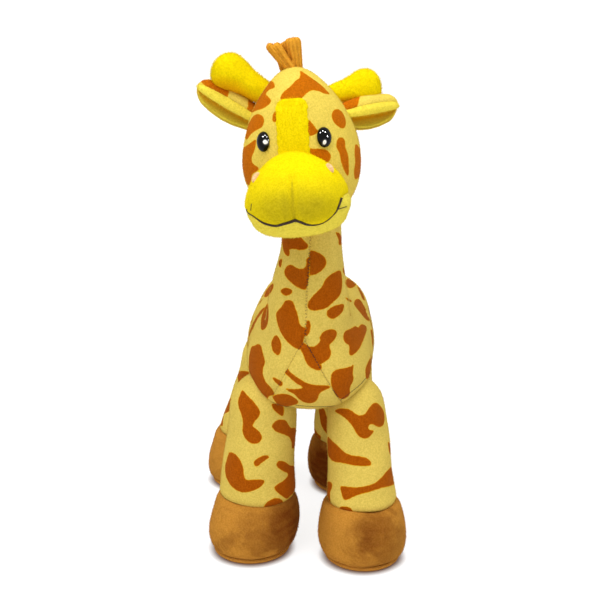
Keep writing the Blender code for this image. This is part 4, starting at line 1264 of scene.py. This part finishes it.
def make_blaze(head_tree):
    """The plain panel on the forehead, a little proud of the head, with rounded edges."""
    across, up = BLAZE_STEPS
    backward = HEAD_FRAME.to_3x3() @ Vector((0, 1, 0))
    outer = []
    inner = []
    for j in range(up + 1):
        height = BLAZE_BOTTOM_Z + (BLAZE_TOP_Z - BLAZE_BOTTOM_Z) * j / up * BLAZE_END_SHARE
        for i in range(across + 1):
            side = 2 * i / across - 1
            start = HEAD_FRAME @ Vector((side * blaze_half_width(height), -HEAD_SIZE[1], height))
            place, normal, _, _ = head_tree.ray_cast(start, backward)
            rim = min(1 - abs(side), (1 - j / up) * 2.2)
            lift = BLAZE_RISE * (1 - (1 - min(rim / 0.16, 1)) ** 2) - BLAZE_EDGE_DEPTH
            outer.append(place + normal * lift)
            inner.append(place - normal * BLAZE_ROOT_DEPTH)
    total, count = len(outer), across + 1
    faces = []
    for j in range(up):
        for a in range(j * count, j * count + across):
            corners = (a, a + 1, a + count + 1, a + count)
            faces += [corners, tuple(total + corner for corner in reversed(corners))]
    border = [*range(across), *range(across, total, count)]
    border += [*range(total - 2, total - count, -1), *range(total - count, 0, -count)]
    faces += [(a, total + a, total + b, b) for a, b in zip(border, border[1:] + border[:1])]
    return face_outward(from_points("forehead_blaze_skin", outer + inner, faces))


def make_horn(side, sign):
    shaft, bulb = HORN_SHAFT_SHARE[side], HORN_BULB_SHARE[side]
    shares = []
    for along, wide in HORN_SHARES:
        mix = min(max((along - HORN_BULB_START_SHARE) / HORN_BULB_RUN_SHARE, 0), 1)
        shares.append((along, wide * (shaft + (bulb - shaft) * mix)))
    size = (HORN_WIDTH, HORN_WIDTH, HORN_LENGTH * HORN_LENGTH_SHARE[side])
    horn = stuffed("horn_" + side + "_skin", shares, size, SMALL_SIDES, SKIN_LEVELS)
    turn = turned(0, sign * (math.pi / 2 - HORN_RAISE[side]), sign * HORN_SWEEP[side])
    root = moved(sign * HORN_ROOT_X, HORN_ROOT_Y[side], HORN_ROOT_Z[side])
    return lumps(placed(horn, HEAD_FRAME @ root @ turn), "horn", sign)


def ear_width_share(along):
    """An ear's width along it, with a round tip."""
    value = float(np.interp(along, np.linspace(0, 1, len(EAR_WIDTH_SHARES)), EAR_WIDTH_SHARES))
    tip = max((along - EAR_TIP_START_SHARE) / (1 - EAR_TIP_START_SHARE), 0)
    return value * math.sqrt(max(1 - tip**2, 0))


def ear_matrix(side, sign):
    turn = turned(EAR_SPINE_TILT, -sign * EAR_RAISE[side], sign * EAR_SWEEP[side])
    return HEAD_FRAME @ moved(sign * EAR_ROOT[0], EAR_ROOT[1], EAR_ROOT[2]) @ turn


def ear_leaf(kind, side, sign):
    """One leaf of an ear, across its folded section. roll thickens its upper edge."""
    start, end, thickness, inset, roll = EAR_LEAVES[kind]
    section = spline(EAR_FOLD_SHARES, EAR_FOLD_STEPS)
    run = np.gradient(section, axis=0)
    run /= np.linalg.norm(run, axis=1, keepdims=True)
    outward_side = np.stack((-run[:, 1], run[:, 0]), axis=1)
    numbers = np.arange(len(section))
    rings = []
    for i in range(EAR_RINGS + 1):
        along = math.sin(i / EAR_RINGS * math.pi / 2) ** 0.9
        share = ear_width_share(along)
        thin = min(share / EAR_THIN_SHARE, 1)
        points = []
        for j in range(2 * EAR_STEPS):
            across = -math.cos(math.pi * j / EAR_STEPS)
            place = start + (end - start) * (across + 1) / 2
            at = place * (len(section) - 1)
            middle = np.array([np.interp(at, numbers, column) for column in section.T])
            out = np.array([np.interp(at, numbers, column) for column in outward_side.T])
            rolled = min(max(place - EAR_ROLL_START, 0) / EAR_ROLL_RUN_SHARE, 1)
            full = (thickness + roll * rolled) / 2 * math.sqrt(max(1 - abs(across) ** 6, 0)) * thin
            level = inset * (1 - rolled * (roll > 0)) * thin + (full if j < EAR_STEPS else -full)
            forward, up = middle * EAR_WIDTH / 2 * share + out * level
            points.append(Vector((sign * along * EAR_LENGTH * EAR_LENGTH_SHARE[side], -forward, up)))
        rings.append(points)
    leaf = face_outward(skinned(kind + side + "_skin", rings))
    return placed(leaf, ear_matrix(side, sign))


def ball(name, segments, rings):
    bm = bmesh.new()
    bmesh.ops.create_uvsphere(bm, u_segments=segments, v_segments=rings, radius=1)
    return from_bmesh(name, bm)


def make_eye(side, sign):
    """A glossy dome. Its own width and height, from the printed dot, are kept on its points."""
    eye = ball("eye_" + side + "_dome", 64, 40)
    width, dome, height = EYE_SIZE
    points = places(eye)
    points *= np.array((width / 2, 1, height / 2))
    points[:, 1] *= np.where(points[:, 1] < 0, dome, EYE_BACK_DEPTH)
    turn = turned(-EYE_UPTURN, sign * EYE_TILT, sign * EYE_ASIDE)
    to_row = HEAD_FRAME @ moved(sign * EYE_PLACE[0], EYE_PLACE[1], EYE_PLACE[2]) @ turn
    placed(move_to(eye, points), to_row)
    middle = to_row.inverted() @ cast(EYE_DOT_SPOTS[side], tree_of(eye))[0]
    for name, axis in (("across", 0), ("up", 2)):
        store(eye, name, (points[:, axis] - middle[axis]) * MILLIMETRES)
    return eye


def make_nostril(side, muzzle_tree):
    """A raised oval of satin stitch on the muzzle."""
    nostril = ball("nostril_" + side + "_stitching", 72, 48)
    width, bulge, height = NOSTRIL_SIZE
    points = places(nostril)
    ridge = 1 + 0.05 * np.sin(points[:, 2] * 34 + points[:, 0] * 3)
    points *= np.stack((ridge * width / 2, ridge * bulge, ridge * 0 + height / 2), axis=1)
    place, normal = cast(NOSTRIL_SPOTS[side], muzzle_tree)
    up = (Vector((0, 0, 1)) - normal * normal.z).normalized()
    axes = Matrix((normal.cross(up).normalized(), -normal, up)).transposed()
    placed(move_to(nostril, points), moved(*place) @ axes.to_4x4() @ turned(0, NOSTRIL_TURN[side], 0))
    return face_outward(nostril)


# Mane
def make_tuft():
    """A strip of ribbed plush, folded like a fan and sewn in at the crown."""
    folds = []
    for across, forward, width, depth, height, lean, turn in TUFT_FOLDS:
        fold = stuffed("fold", TUFT_SHARES, (width, depth, height), SMALL_SIDES, SKIN_LEVELS)
        x, y, _ = places(fold).T
        swell(fold, TUFT_RIB_HEIGHT * np.sin(np.arctan2(y / depth, x / width) * TUFT_RIBS))
        root = moved(TUFT_ROOT[0] + across, TUFT_ROOT[1] - forward, TUFT_ROOT[2])
        folds.append(placed(fold, HEAD_FRAME @ root @ turned(0, lean, 0) @ turned(0, 0, turn)))
    return smoothed(one_skin("mane_tuft_skin", folds, TUFT_VOXEL), 2, 0.4)


def make_mane(name, shares, size, along_shares, to_row):
    """A low ridge down the back of a form, from its shares and at shares of its length."""
    back = np.interp(along_shares, [row[0] for row in shares], [row[-1] for row in shares])
    points = [Vector(point) for point in zip(back * size[1] / 2, np.array(along_shares) * size[2])]
    rings = []
    for k, point in enumerate(points):
        run = (points[min(k + 1, len(points) - 1)] - points[max(k - 1, 0)]).normalized()
        axes = Matrix(((1, 0, 0), (0, -run.y, run.x), (0, run.x, run.y)))
        rings.append(ring(axes, (0, *point), MANE_WIDTH / 2, MANE_ROOT_DEPTH, MANE_RISE, SMALL_SIDES))
    return placed(softened(name, rings, SKIN_LEVELS), to_row)


# Nodes
def feed(tree, node, inputs):
    """Sets or links a node's inputs by name, or by _ and their number."""
    for key, value in inputs.items():
        socket = node.inputs[int(key[1:]) if key[0] == "_" else key.replace("_", " ")]
        if hasattr(value, "is_output"):
            tree.links.new(value, socket)
        else:
            socket.default_value = value


def wire(tree, kind, output, settings=None, **inputs):
    """Adds a node and gives the named or numbered output of it."""
    node = tree.nodes.new(kind)
    for key, value in (settings or {}).items():
        setattr(node, key, value)
    feed(tree, node, inputs)
    return node.outputs[output]


# Pile and stitches, by geometry nodes
def new_tree(name, inputs):
    """An empty geometry tree that takes and gives a mesh, with named inputs besides."""
    tree = bpy.data.node_groups.new(name, "GeometryNodeTree")
    tree.interface.new_socket("Geometry", in_out="INPUT", socket_type="NodeSocketGeometry")
    for label, kind in inputs:
        tree.interface.new_socket(label, in_out="INPUT", socket_type="NodeSocket" + kind)
    tree.interface.new_socket("Geometry", in_out="OUTPUT", socket_type="NodeSocketGeometry")
    return tree, tree.nodes.new("NodeGroupInput").outputs


def end_tree(tree, shapes, material):
    """Makes the instances real, gives them their material and ends the tree."""
    real = wire(tree, "GeometryNodeRealizeInstances", 0, Geometry=shapes)
    done = wire(tree, "GeometryNodeSetMaterial", 0, Geometry=real, Material=material)
    tree.links.new(done, tree.nodes.new("NodeGroupOutput").inputs["Geometry"])
    return tree


def grow(obj, tree, **inputs):
    """Runs a geometry tree on an object and makes the result its mesh."""
    modifier = obj.modifiers.new("grow", "NODES")
    modifier.node_group = tree
    for item in tree.interface.items_tree:
        if item.in_out == "INPUT" and item.name in inputs:
            modifier[item.identifier] = inputs[item.name]
    baked(obj).data.shade_smooth()
    return obj


def aligned(tree, way):
    return wire(tree, "FunctionNodeAlignRotationToVector", 0, {"axis": "Z"}, Vector=way)


def pile_tree():
    """Short fibres that stand on a skin and lean the way of its nap, which is downwards."""
    sizes = ("Density", "Length", "Width", "Lean", "Spread")
    inputs = (*((label, "Float") for label in sizes), ("Seed", "Int"), ("Material", "Material"))
    tree, given = new_tree("pile", inputs)
    scale = {"operation": "SCALE"}
    vectors = "ShaderNodeVectorMath"
    spread = {"Mesh": given["Geometry"], "Density": given["Density"], "Seed": given["Seed"]}
    points = wire(tree, "GeometryNodeDistributePointsOnFaces", "Points", **spread)
    way = points.node.outputs["Normal"]
    down = wire(tree, "ShaderNodeCombineXYZ", 0, Z=-1.0)
    limits = {"_0": (-1.0, -1.0, -1.0), "_1": (1.0, 1.0, 1.0)}
    stray = wire(
        tree, "FunctionNodeRandomValue", 0, {"data_type": "FLOAT_VECTOR"}, Seed=given["Seed"], **limits,
    )
    for pull, amount in ((down, given["Lean"]), (stray, given["Spread"])):
        way = wire(tree, vectors, 0, _0=way, _1=wire(tree, vectors, 0, scale, _0=pull, Scale=amount))
    fibre = wire(
        tree, "GeometryNodeMeshCone", "Mesh",
        Vertices=3, Radius_Top=0.0, Radius_Bottom=given["Width"], Depth=given["Length"],
    )
    low, high = FIBRE_LENGTH_SHARES
    size = wire(
        tree, "FunctionNodeRandomValue", 1, {"data_type": "FLOAT"}, _2=low, _3=high, Seed=given["Seed"],
    )
    pile = wire(
        tree, "GeometryNodeInstanceOnPoints", 0,
        Points=points, Instance=fibre, Rotation=aligned(tree, way), Scale=size,
    )
    both = wire(tree, "GeometryNodeJoinGeometry", 0)
    tree.links.new(pile, both.node.inputs[0])
    tree.links.new(given["Geometry"], both.node.inputs[0])
    return end_tree(tree, both, given["Material"])


def stitch_tree():
    """A small capsule at each point, along the direction that the point keeps as "way"."""
    tree, given = new_tree("stitches", (("Length", "Float"), ("Width", "Float"), ("Material", "Material")))
    points = wire(tree, "GeometryNodeMeshToPoints", 0, Mesh=given["Geometry"])
    way = wire(tree, "GeometryNodeInputNamedAttribute", 0, {"data_type": "FLOAT_VECTOR"}, Name="way")
    capsule = wire(tree, "GeometryNodeMeshUVSphere", 0, Segments=6, Rings=4, Radius=0.5)
    size = wire(tree, "ShaderNodeCombineXYZ", 0, X=given["Width"], Y=given["Width"], Z=given["Length"])
    sewn = wire(
        tree, "GeometryNodeInstanceOnPoints", 0,
        Points=points, Instance=capsule, Rotation=aligned(tree, way), Scale=size,
    )
    return end_tree(tree, sewn, given["Material"])


PILE_TREE = pile_tree()
STITCH_TREE = stitch_tree()


def furred(obj, material, pile, seed):
    """A skin with its material and its pile."""
    density, length, lean, spread = pile
    finish_mesh(obj, material)
    sizes = {"Density": density, "Length": length, "Width": FIBRE_WIDTH, "Lean": lean, "Spread": spread}
    return grow(obj, PILE_TREE, Seed=seed, Material=material, **sizes)


# Materials
class Shader:
    """A material's nodes, added by short calls."""

    def __init__(self, name):
        self.material = bpy.data.materials.new(name)
        self.material.use_nodes = True
        self.tree = self.material.node_tree

    def surface(self, **inputs):
        feed(self.tree, self.tree.nodes["Principled BSDF"], inputs)
        return self.material

    def math(self, operation, *values):
        inputs = {"_" + str(k): value for k, value in enumerate(values)}
        return wire(self.tree, "ShaderNodeMath", 0, {"operation": operation}, **inputs)

    def smooth(self, value, low, high):
        """0 below low, 1 above high, smooth between."""
        settings = {"interpolation_type": "SMOOTHSTEP"}
        return wire(self.tree, "ShaderNodeMapRange", 0, settings, Value=value, From_Min=low, From_Max=high)

    def kept(self, name):
        """What the mesh keeps on its points under a name."""
        return wire(self.tree, "ShaderNodeAttribute", "Fac", {"attribute_name": name})

    def noise(self, scale, detail=2.0, roughness=0.5, stretch=(1, 1, 1)):
        place = wire(self.tree, "ShaderNodeTexCoord", "Object")
        place = wire(self.tree, "ShaderNodeMapping", 0, Vector=place, Scale=stretch)
        sizes = {"Scale": scale, "Detail": detail, "Roughness": roughness}
        return wire(self.tree, "ShaderNodeTexNoise", "Fac", Vector=place, **sizes)

    def mix(self, share, *colours):
        first, second = (solid(colour) if isinstance(colour, tuple) else colour for colour in colours)
        return wire(self.tree, "ShaderNodeMix", 2, {"data_type": "RGBA"}, _0=share, _6=first, _7=second)

    def bump(self, height, strength, distance):
        return wire(self.tree, "ShaderNodeBump", 0, Height=height, Strength=strength, Distance=distance)


def solid(colour):
    return (*linear(colour), 1)


def shaded(colour, share):
    return tuple(c * share for c in colour)


def lighter(colour, share):
    return tuple(c + (1 - c) * share for c in colour)


def plush(name, colour, printed=None, shade_and_nap_colour=None):
    """Short-pile plush: flecked colour, a soft nap and a pale bloom at grazing angles."""
    shader = Shader(name)
    fleck = shader.noise(2600.0, roughness=0.6)
    nap = shader.noise(900.0, roughness=0.6)
    speck = shader.math("MULTIPLY_ADD", nap, 0.6, shader.math("MULTIPLY", fleck, 0.4))
    share = shader.smooth(speck, 0.38, 0.62)

    def flecked(tint, dark=0.92, pale=0.05):
        return shader.mix(share, shaded(tint, dark), lighter(tint, pale))

    base = flecked(colour)
    # Painted shade: the colour turns darker where the mesh keeps "nap", which holds painted shade, and on the
    # hooves also their nap
    if shade_and_nap_colour:
        base = shader.mix(shader.kept("nap"), base, flecked(shade_and_nap_colour))
    if printed:
        wander = shader.math("ADD", shader.noise(520.0, roughness=0.6), -0.5)
        edge = shader.math("ADD", shader.kept("print"), wander)
        rim = shader.mix(shader.smooth(edge, -0.50, -0.05), base, SPOT_RIM)
        base = shader.mix(shader.smooth(edge, -0.10, 0.35), rim, flecked(printed, 0.88, 0.03))
    patches = shader.math("MULTIPLY", shader.smooth(shader.noise(40.0), 0.45, 0.70), 0.05)
    height = shader.math("ADD", shader.math("MULTIPLY", nap, 1.3), fleck)
    return shader.surface(
        Base_Color=shader.mix(patches, base, shaded(colour, 0.50)),
        Normal=shader.bump(height, 0.30, PLUSH_BUMP), Roughness=0.95, Specular_IOR_Level=0.05,
        Sheen_Weight=0.08, Sheen_Roughness=0.5, Sheen_Tint=solid(lighter(colour, 0.10)),
    )


def thread(name, colour, on_print=None):
    """Sewing thread. on_print is its colour where it lies on a printed spot."""
    shader = Shader(name)
    base = shader.mix(shader.smooth(shader.noise(1800.0, 1.0), 0.35, 0.65), shaded(colour, 0.7), colour)
    if on_print:
        base = shader.mix(shader.smooth(shader.kept("print"), -0.4, 0.2), base, on_print)
    return shader.surface(Base_Color=base, Roughness=0.7)


def eye_plastic():
    """Black plastic with the small white oval printed in its middle, in a faint grey ring."""
    shader = Shader("eye_plastic")
    squares = [
        shader.math("POWER", shader.math("DIVIDE", shader.kept(name), half), 2.0)
        for name, half in (("across", EYE_DOT_HALVES[0]), ("up", EYE_DOT_HALVES[1]))
    ]
    away = shader.math("SQRT", shader.math("ADD", *squares))
    ring_share = shader.math("MULTIPLY", shader.smooth(away, 1.75, 1.25), 0.25)
    black = shader.mix(ring_share, EYE_BLACK, EYE_RING_GREY)
    base = shader.mix(shader.smooth(away, 1.08, 0.88), black, EYE_DOT_WHITE)
    return shader.surface(Base_Color=base, Roughness=0.05, Specular_IOR_Level=0.14)


def nostril_thread():
    shader = Shader("nostril_thread")
    strand = shader.noise(420.0, 1.0, stretch=(1, 1, 6))
    base = shader.mix(shader.smooth(strand, 0.3, 0.7), shaded(PEACH, 0.86), lighter(PEACH, 0.15))
    normal = shader.bump(strand, 0.5, STRAND_BUMP)
    return shader.surface(Base_Color=base, Normal=normal, Roughness=0.55, Sheen_Weight=0.3)


def washer_plastic():
    return Shader("washer_plastic").surface(Base_Color=solid(WASHER_WHITE), Roughness=0.45)


# Studio
def camera_share(tree):
    """1 for what the camera sees, directly, mirrored or through glass, and 0 for light on the object."""
    seen = wire(tree, "ShaderNodeLightPath", "Is Camera Ray")
    path = seen.node.outputs
    for kind in ("Is Glossy Ray", "Is Transmission Ray"):
        seen = wire(tree, "ShaderNodeMath", 0, {"operation": "MAXIMUM"}, _0=seen, _1=path[kind])
    return seen


def make_floor():
    bm = bmesh.new()
    bmesh.ops.create_grid(bm, x_segments=1, y_segments=1, size=FLOOR_HALF_WIDTH)
    floor = from_bmesh("floor", bm)
    floor.location = (0, 0, -FLOOR_DROP)
    shader = Shader("pale_floor")
    seen = camera_share(shader.tree)
    # Painted contact shadow: how open the floor is above it, within the reach
    nearby = wire(shader.tree, "ShaderNodeAmbientOcclusion", "AO", {"samples": 16}, Distance=CONTACT_REACH)
    shader.surface(
        Base_Color=shader.mix(seen, FLOOR_LIT, FLOOR_FACE), Roughness=1.0, Specular_IOR_Level=0.0,
        Emission_Color=shader.mix(shader.smooth(nearby, 0.25, 1.0), CONTACT_SHADOW_TINT, WHITE),
        Emission_Strength=shader.math("MULTIPLY", seen, FLOOR_GLOW),
    )
    floor.data.materials.append(shader.material)


def make_world():
    world = bpy.data.worlds.new("studio")
    bpy.context.scene.world = world
    world.use_nodes = True
    tree = world.node_tree
    limits = {"To_Min": WORLD_LIGHT, "To_Max": 1.0}
    strength = wire(tree, "ShaderNodeMapRange", 0, Value=camera_share(tree), **limits)
    feed(tree, tree.nodes["Background"], {"Color": (*WHITE, 1), "Strength": strength})


def sun(name, place, power, angle):
    """A lamp that shines from a direction."""
    data = bpy.data.lights.new(name, "SUN")
    data.energy = power
    data.angle = angle
    lamp = show(name, data)
    lamp.rotation_euler = (-Vector(place)).to_track_quat("-Z", "Y").to_euler()
    return lamp


def make_studio():
    make_floor()
    make_world()
    eyes = bpy.data.collections.new("eyes")
    for side, _ in SIDES:
        eyes.objects.link(bpy.data.objects["eye_" + side + "_dome"])
    for name, place, power, angle in LAMPS:
        sun(name, place, power, angle).visible_glossy = False
    for k, place in enumerate(SPARKLE_PLACES):
        lamp = sun("sparkle_" + str(k), place, SPARKLE_POWER, SPARKLE_ANGLE)
        lamp.visible_diffuse = False
        lamp.light_linking.receiver_collection = eyes
    data = bpy.data.cameras.new("camera")
    data.lens = SENSOR_WIDTH * CAMERA_FOCAL_PIXELS / PICTURE_PIXELS
    data.sensor_width = SENSOR_WIDTH
    camera = show("camera", data)
    camera.location = CAMERA_PLACE
    camera.rotation_euler = (math.pi / 2 - CAMERA_PITCH, 0, 0)
    bpy.context.scene.camera = camera
    bpy.context.scene.view_settings.view_transform = "Standard"


# Threads
def sew(name, line, stitch, material, *trees):
    """Stitches along a picture line, a gap apart, slanted to either side of it in turn."""
    gap, length, width, slant = stitch
    path, normals = cast_path(line, STITCH_STEPS, STITCH_LIFT, *trees)
    centres = []
    ways = []
    travelled = gap
    for place, normal, step in zip(path[1:], normals[1:], np.diff(path, axis=0)):
        step = Vector(step)
        travelled += step.length
        if travelled >= gap:
            travelled = 0.0
            run = step.normalized()
            angle = slant if len(centres) % 2 else -slant
            centres.append(place)
            ways.append(run * math.cos(angle) + normal.cross(run) * math.sin(angle))
    made = from_points(name, centres)
    store(made, "way", ways, "FLOAT_VECTOR", "vector")
    store(made, "print", seen_print(places(made), CHEST_VIEW, BODY_SPOTS) * MILLIMETRES)
    return grow(made, STITCH_TREE, Length=length, Width=width, Material=material)


def bend_at_neck(obj):
    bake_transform(obj)


def sew_threads(body_tree, muzzle_tree, jaw_tree, head_tree):
    """Seam threads that lie on the cloth, and dark lines of painted shade in the creases at the mouth's
    corners, each with the body that it rides.
    """
    dark = thread("mouth_thread", THREAD_DARK)
    coat_thread = thread("coat_thread", THREAD_TAN, THREAD_DARK)
    face = muzzle_tree, jaw_tree, head_tree
    # The mouth thread is a seam thread, thickened where the shade under the upper lip falls: partly painted
    # shade
    path, _ = cast_path(MOUTH_LINE, THREAD_STEPS, MOUTH_THREAD_LIFT, *face[:2])
    radii = np.interp(np.linspace(0, 1, len(path)), MOUTH_THREAD_ALONG_SHARES, MOUTH_THREAD_AND_SHADE_RADII)
    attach(finish_mesh(tube("mouth_thread", path, radii), dark), "head")
    # Painted shade: dark lines in the creases at the mouth's corners
    for name, line in (("lip_crease_shade_line", LIP_CREASE), ("mouth_corner_shade_line", CORNER_SHADE_LINE)):
        path, _ = cast_path(line, THREAD_STEPS, CREASE_SHADE_LIFT, *face)
        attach(finish_mesh(tube(name, path, [CREASE_SHADE_RADIUS] * len(path)), dark), "head")
    for name, line, stitch in COAT_STITCHES:
        bend_at_neck(sew(name, line, stitch, coat_thread, body_tree))
    for name, line in DARK_STITCHES:
        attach(sew(name, line, DARK_STITCH, dark, body_tree), "torso")


# Assembly
def dress(piece, fill, rides, *nodes):
    """Puts a piece in place of its solids. fill is not used."""
    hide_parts(*nodes)
    if rides:
        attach(piece, rides)


def dress_body(body, coat, trees):
    print_coat(body, "body", 0, CHEST_VIEW, BODY_SPOTS, trees)
    dress(furred(body, coat, COAT_PILE, 1), FILL, None, "torso", "neck")
    bend_at_neck(body)


def dress_head(head, muzzle, jaw, yellow, head_tree, muzzle_tree):
    head_coat = plush("head_plush", HEAD_CREAM, printed=HEAD_SPOT)
    print_coat(head, "head", 0, FACE_VIEW, HEAD_SPOTS, [head_tree, muzzle_tree])
    dress(furred(head, head_coat, COAT_PILE, 2), FILL, "head", "head")
    dress(furred(make_blaze(head_tree), yellow, YELLOW_PILE, 3), BLAZE_FILL, "head", "forehead_blaze")
    brush_muzzle(muzzle)
    muzzle_yellow = plush("muzzle_plush", YELLOW, shade_and_nap_colour=YELLOW_PAINTED_SHADE)
    dress(furred(muzzle, muzzle_yellow, COAT_PILE, 4), FILL, "head", "muzzle")
    dress(furred(jaw, plush("pale_plush", PALE_YELLOW), COAT_PILE, 4), FILL, "head", "lower_jaw")
    return head_coat


def dress_legs(legs, coat, trees):
    brown = plush("brown_plush", HOOF_BROWN, shade_and_nap_colour=HOOF_SHADE_AND_NAP)
    sole_brown = plush("sole_plush", SOLE_BROWN)
    for k, (place_name, leg) in enumerate(legs.items()):
        node = place_name.replace("_", "_leg_")
        print_coat(leg, "leg", k, *LEG_PRINTS[place_name], trees)
        dress(furred(leg, coat, COAT_PILE, 10 + k), FILL, None, node)
        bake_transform(leg)
        hoof, sole = make_hoof(place_name, k), make_sole(place_name)
        brush_hoof(hoof)
        dress(furred(hoof, brown, HOOF_PILE, 20 + k), HOOF_FILL, node, "hoof_" + place_name)
        dress(finish_mesh(sole, sole_brown), HOOF_FILL, node, "sole_" + place_name)


def dress_ear(side, sign, head_coat, lining_yellow):
    back = ear_leaf("ear_back_", side, sign)
    lining = ear_leaf("ear_lining_", side, sign)
    to_row = ear_matrix(side, sign)
    brush_lining(lining, to_row)
    print_coat(back, "ear", sign, *EAR_PRINTS[side], [tree_of(back), tree_of(lining)])
    for leaf, node, material, pile in (
        (back, "ear_back_", head_coat, COAT_PILE),
        (lining, "ear_lining_", lining_yellow, YELLOW_PILE),
    ):
        dress(furred(leaf, material, pile, 40 + sign), EAR_FILL, None, node + side)
        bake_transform(leaf)


def dress_sides(muzzle_tree, head_coat):
    """Eyes, nostrils, washers, horns and ears."""
    horn_yellow = plush("horn_plush", YELLOW, shade_and_nap_colour=YELLOW_UNDERSIDE_SHADE)
    lining_yellow = plush("lining_plush", LINING_YELLOW, shade_and_nap_colour=LINING_HOLLOW_SHADE)
    eye_material, nostril_material, washer_material = eye_plastic(), nostril_thread(), washer_plastic()
    for side, sign in SIDES:
        dress(finish_mesh(make_eye(side, sign), eye_material), None, "head", "eye_" + side)
        dress(finish_mesh(make_nostril(side, muzzle_tree), nostril_material), None, "head", "nostril_" + side)
        paint(frame["nodes"]["eye_washer_" + side], washer_material)
        horn = make_horn(side, sign)
        brush_under(horn)
        dress(furred(horn, horn_yellow, YELLOW_PILE, 30 + sign), FILL, "head", "horn_" + side)
        dress_ear(side, sign, head_coat, lining_yellow)


def dress_manes_and_tail(coat, body_tree):
    mane = plush("mane_plush", MANE_BROWN, shade_and_nap_colour=MANE_FOLD_SHADE)
    neck_size = (NECK_WIDTH, NECK_WIDTH, NECK_LENGTH)
    tuft = make_tuft()
    mane_head = make_mane("mane_head_skin", HEAD_SHARES, HEAD_SIZE, MANE_HEAD_SHARES, SKULL_FRAME)
    mane_neck = make_mane("mane_neck_skin", NECK_SHARES, neck_size, MANE_NECK_SHARES, NECK_FRAME)
    for piece, node, rides, seed in (
        (tuft, "mane_tuft", "head", 50),
        (mane_head, "mane_head", "head", 51),
        (mane_neck, "mane_neck", None, 51),
    ):
        shade_folds(piece, MANE_FOLD_DEPTH)
        dress(furred(piece, mane, MANE_PILE, seed), MANE_FILL, rides, node)
    bend_at_neck(mane_neck)
    tail, tail_tuft = make_tail(), make_tail_tuft()
    print_coat(tail, "tail", 0, CHEST_VIEW, (), [body_tree])
    dress(furred(tail, coat, COAT_PILE, 52), TAIL_FILL, None, "tail")
    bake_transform(tail)
    shade_folds(tail_tuft, TAIL_FOLD_DEPTH)
    dress(furred(tail_tuft, mane, MANE_PILE, 53), TAIL_FILL, "tail", "tail_tuft")


def main():
    coat = plush("printed_plush", CREAM, printed=SPOT)
    yellow = plush("yellow_plush", YELLOW)
    body = make_coat_body()
    legs = {name: make_leg(name.replace("_", "_leg_"), name, k) for k, name in enumerate(LEG_PLACES)}
    head, muzzle, jaw = make_head(), make_muzzle(), lumps(snout_piece("lower_jaw_skin", False), "jaw")
    body_tree, head_tree, muzzle_tree, jaw_tree = (tree_of(piece) for piece in (body, head, muzzle, jaw))
    leg_trees = {name: tree_of(leg) for name, leg in legs.items()}
    for piece, tree, steps, line, press in (
        (body, body_tree, 4, CHEST_SEAM, CHEST_SEAM_PRESS),
        (body, body_tree, 4, GUSSET_SEAM_LEFT, GUSSET_SEAM_PRESS),
        (body, body_tree, 4, GUSSET_SEAM_RIGHT, GUSSET_SEAM_PRESS),
        (muzzle, muzzle_tree, 5, LIP_SEAM, LIP_SEAM_PRESS),
    ):
        press_seam(piece, cast_path(line, steps, 0.0, tree)[0], *press)
    body_tree, muzzle_tree = tree_of(body), tree_of(muzzle)
    front_legs = [leg_trees["front_left"], leg_trees["front_right"]]
    dress_body(body, coat, [body_tree, head_tree, muzzle_tree, *front_legs])
    head_coat = dress_head(head, muzzle, jaw, yellow, head_tree, muzzle_tree)
    dress_legs(legs, coat, [body_tree, *leg_trees.values()])
    dress_sides(muzzle_tree, head_coat)
    dress_manes_and_tail(coat, body_tree)
    sew_threads(body_tree, muzzle_tree, jaw_tree, head_tree)
    make_studio()


main()
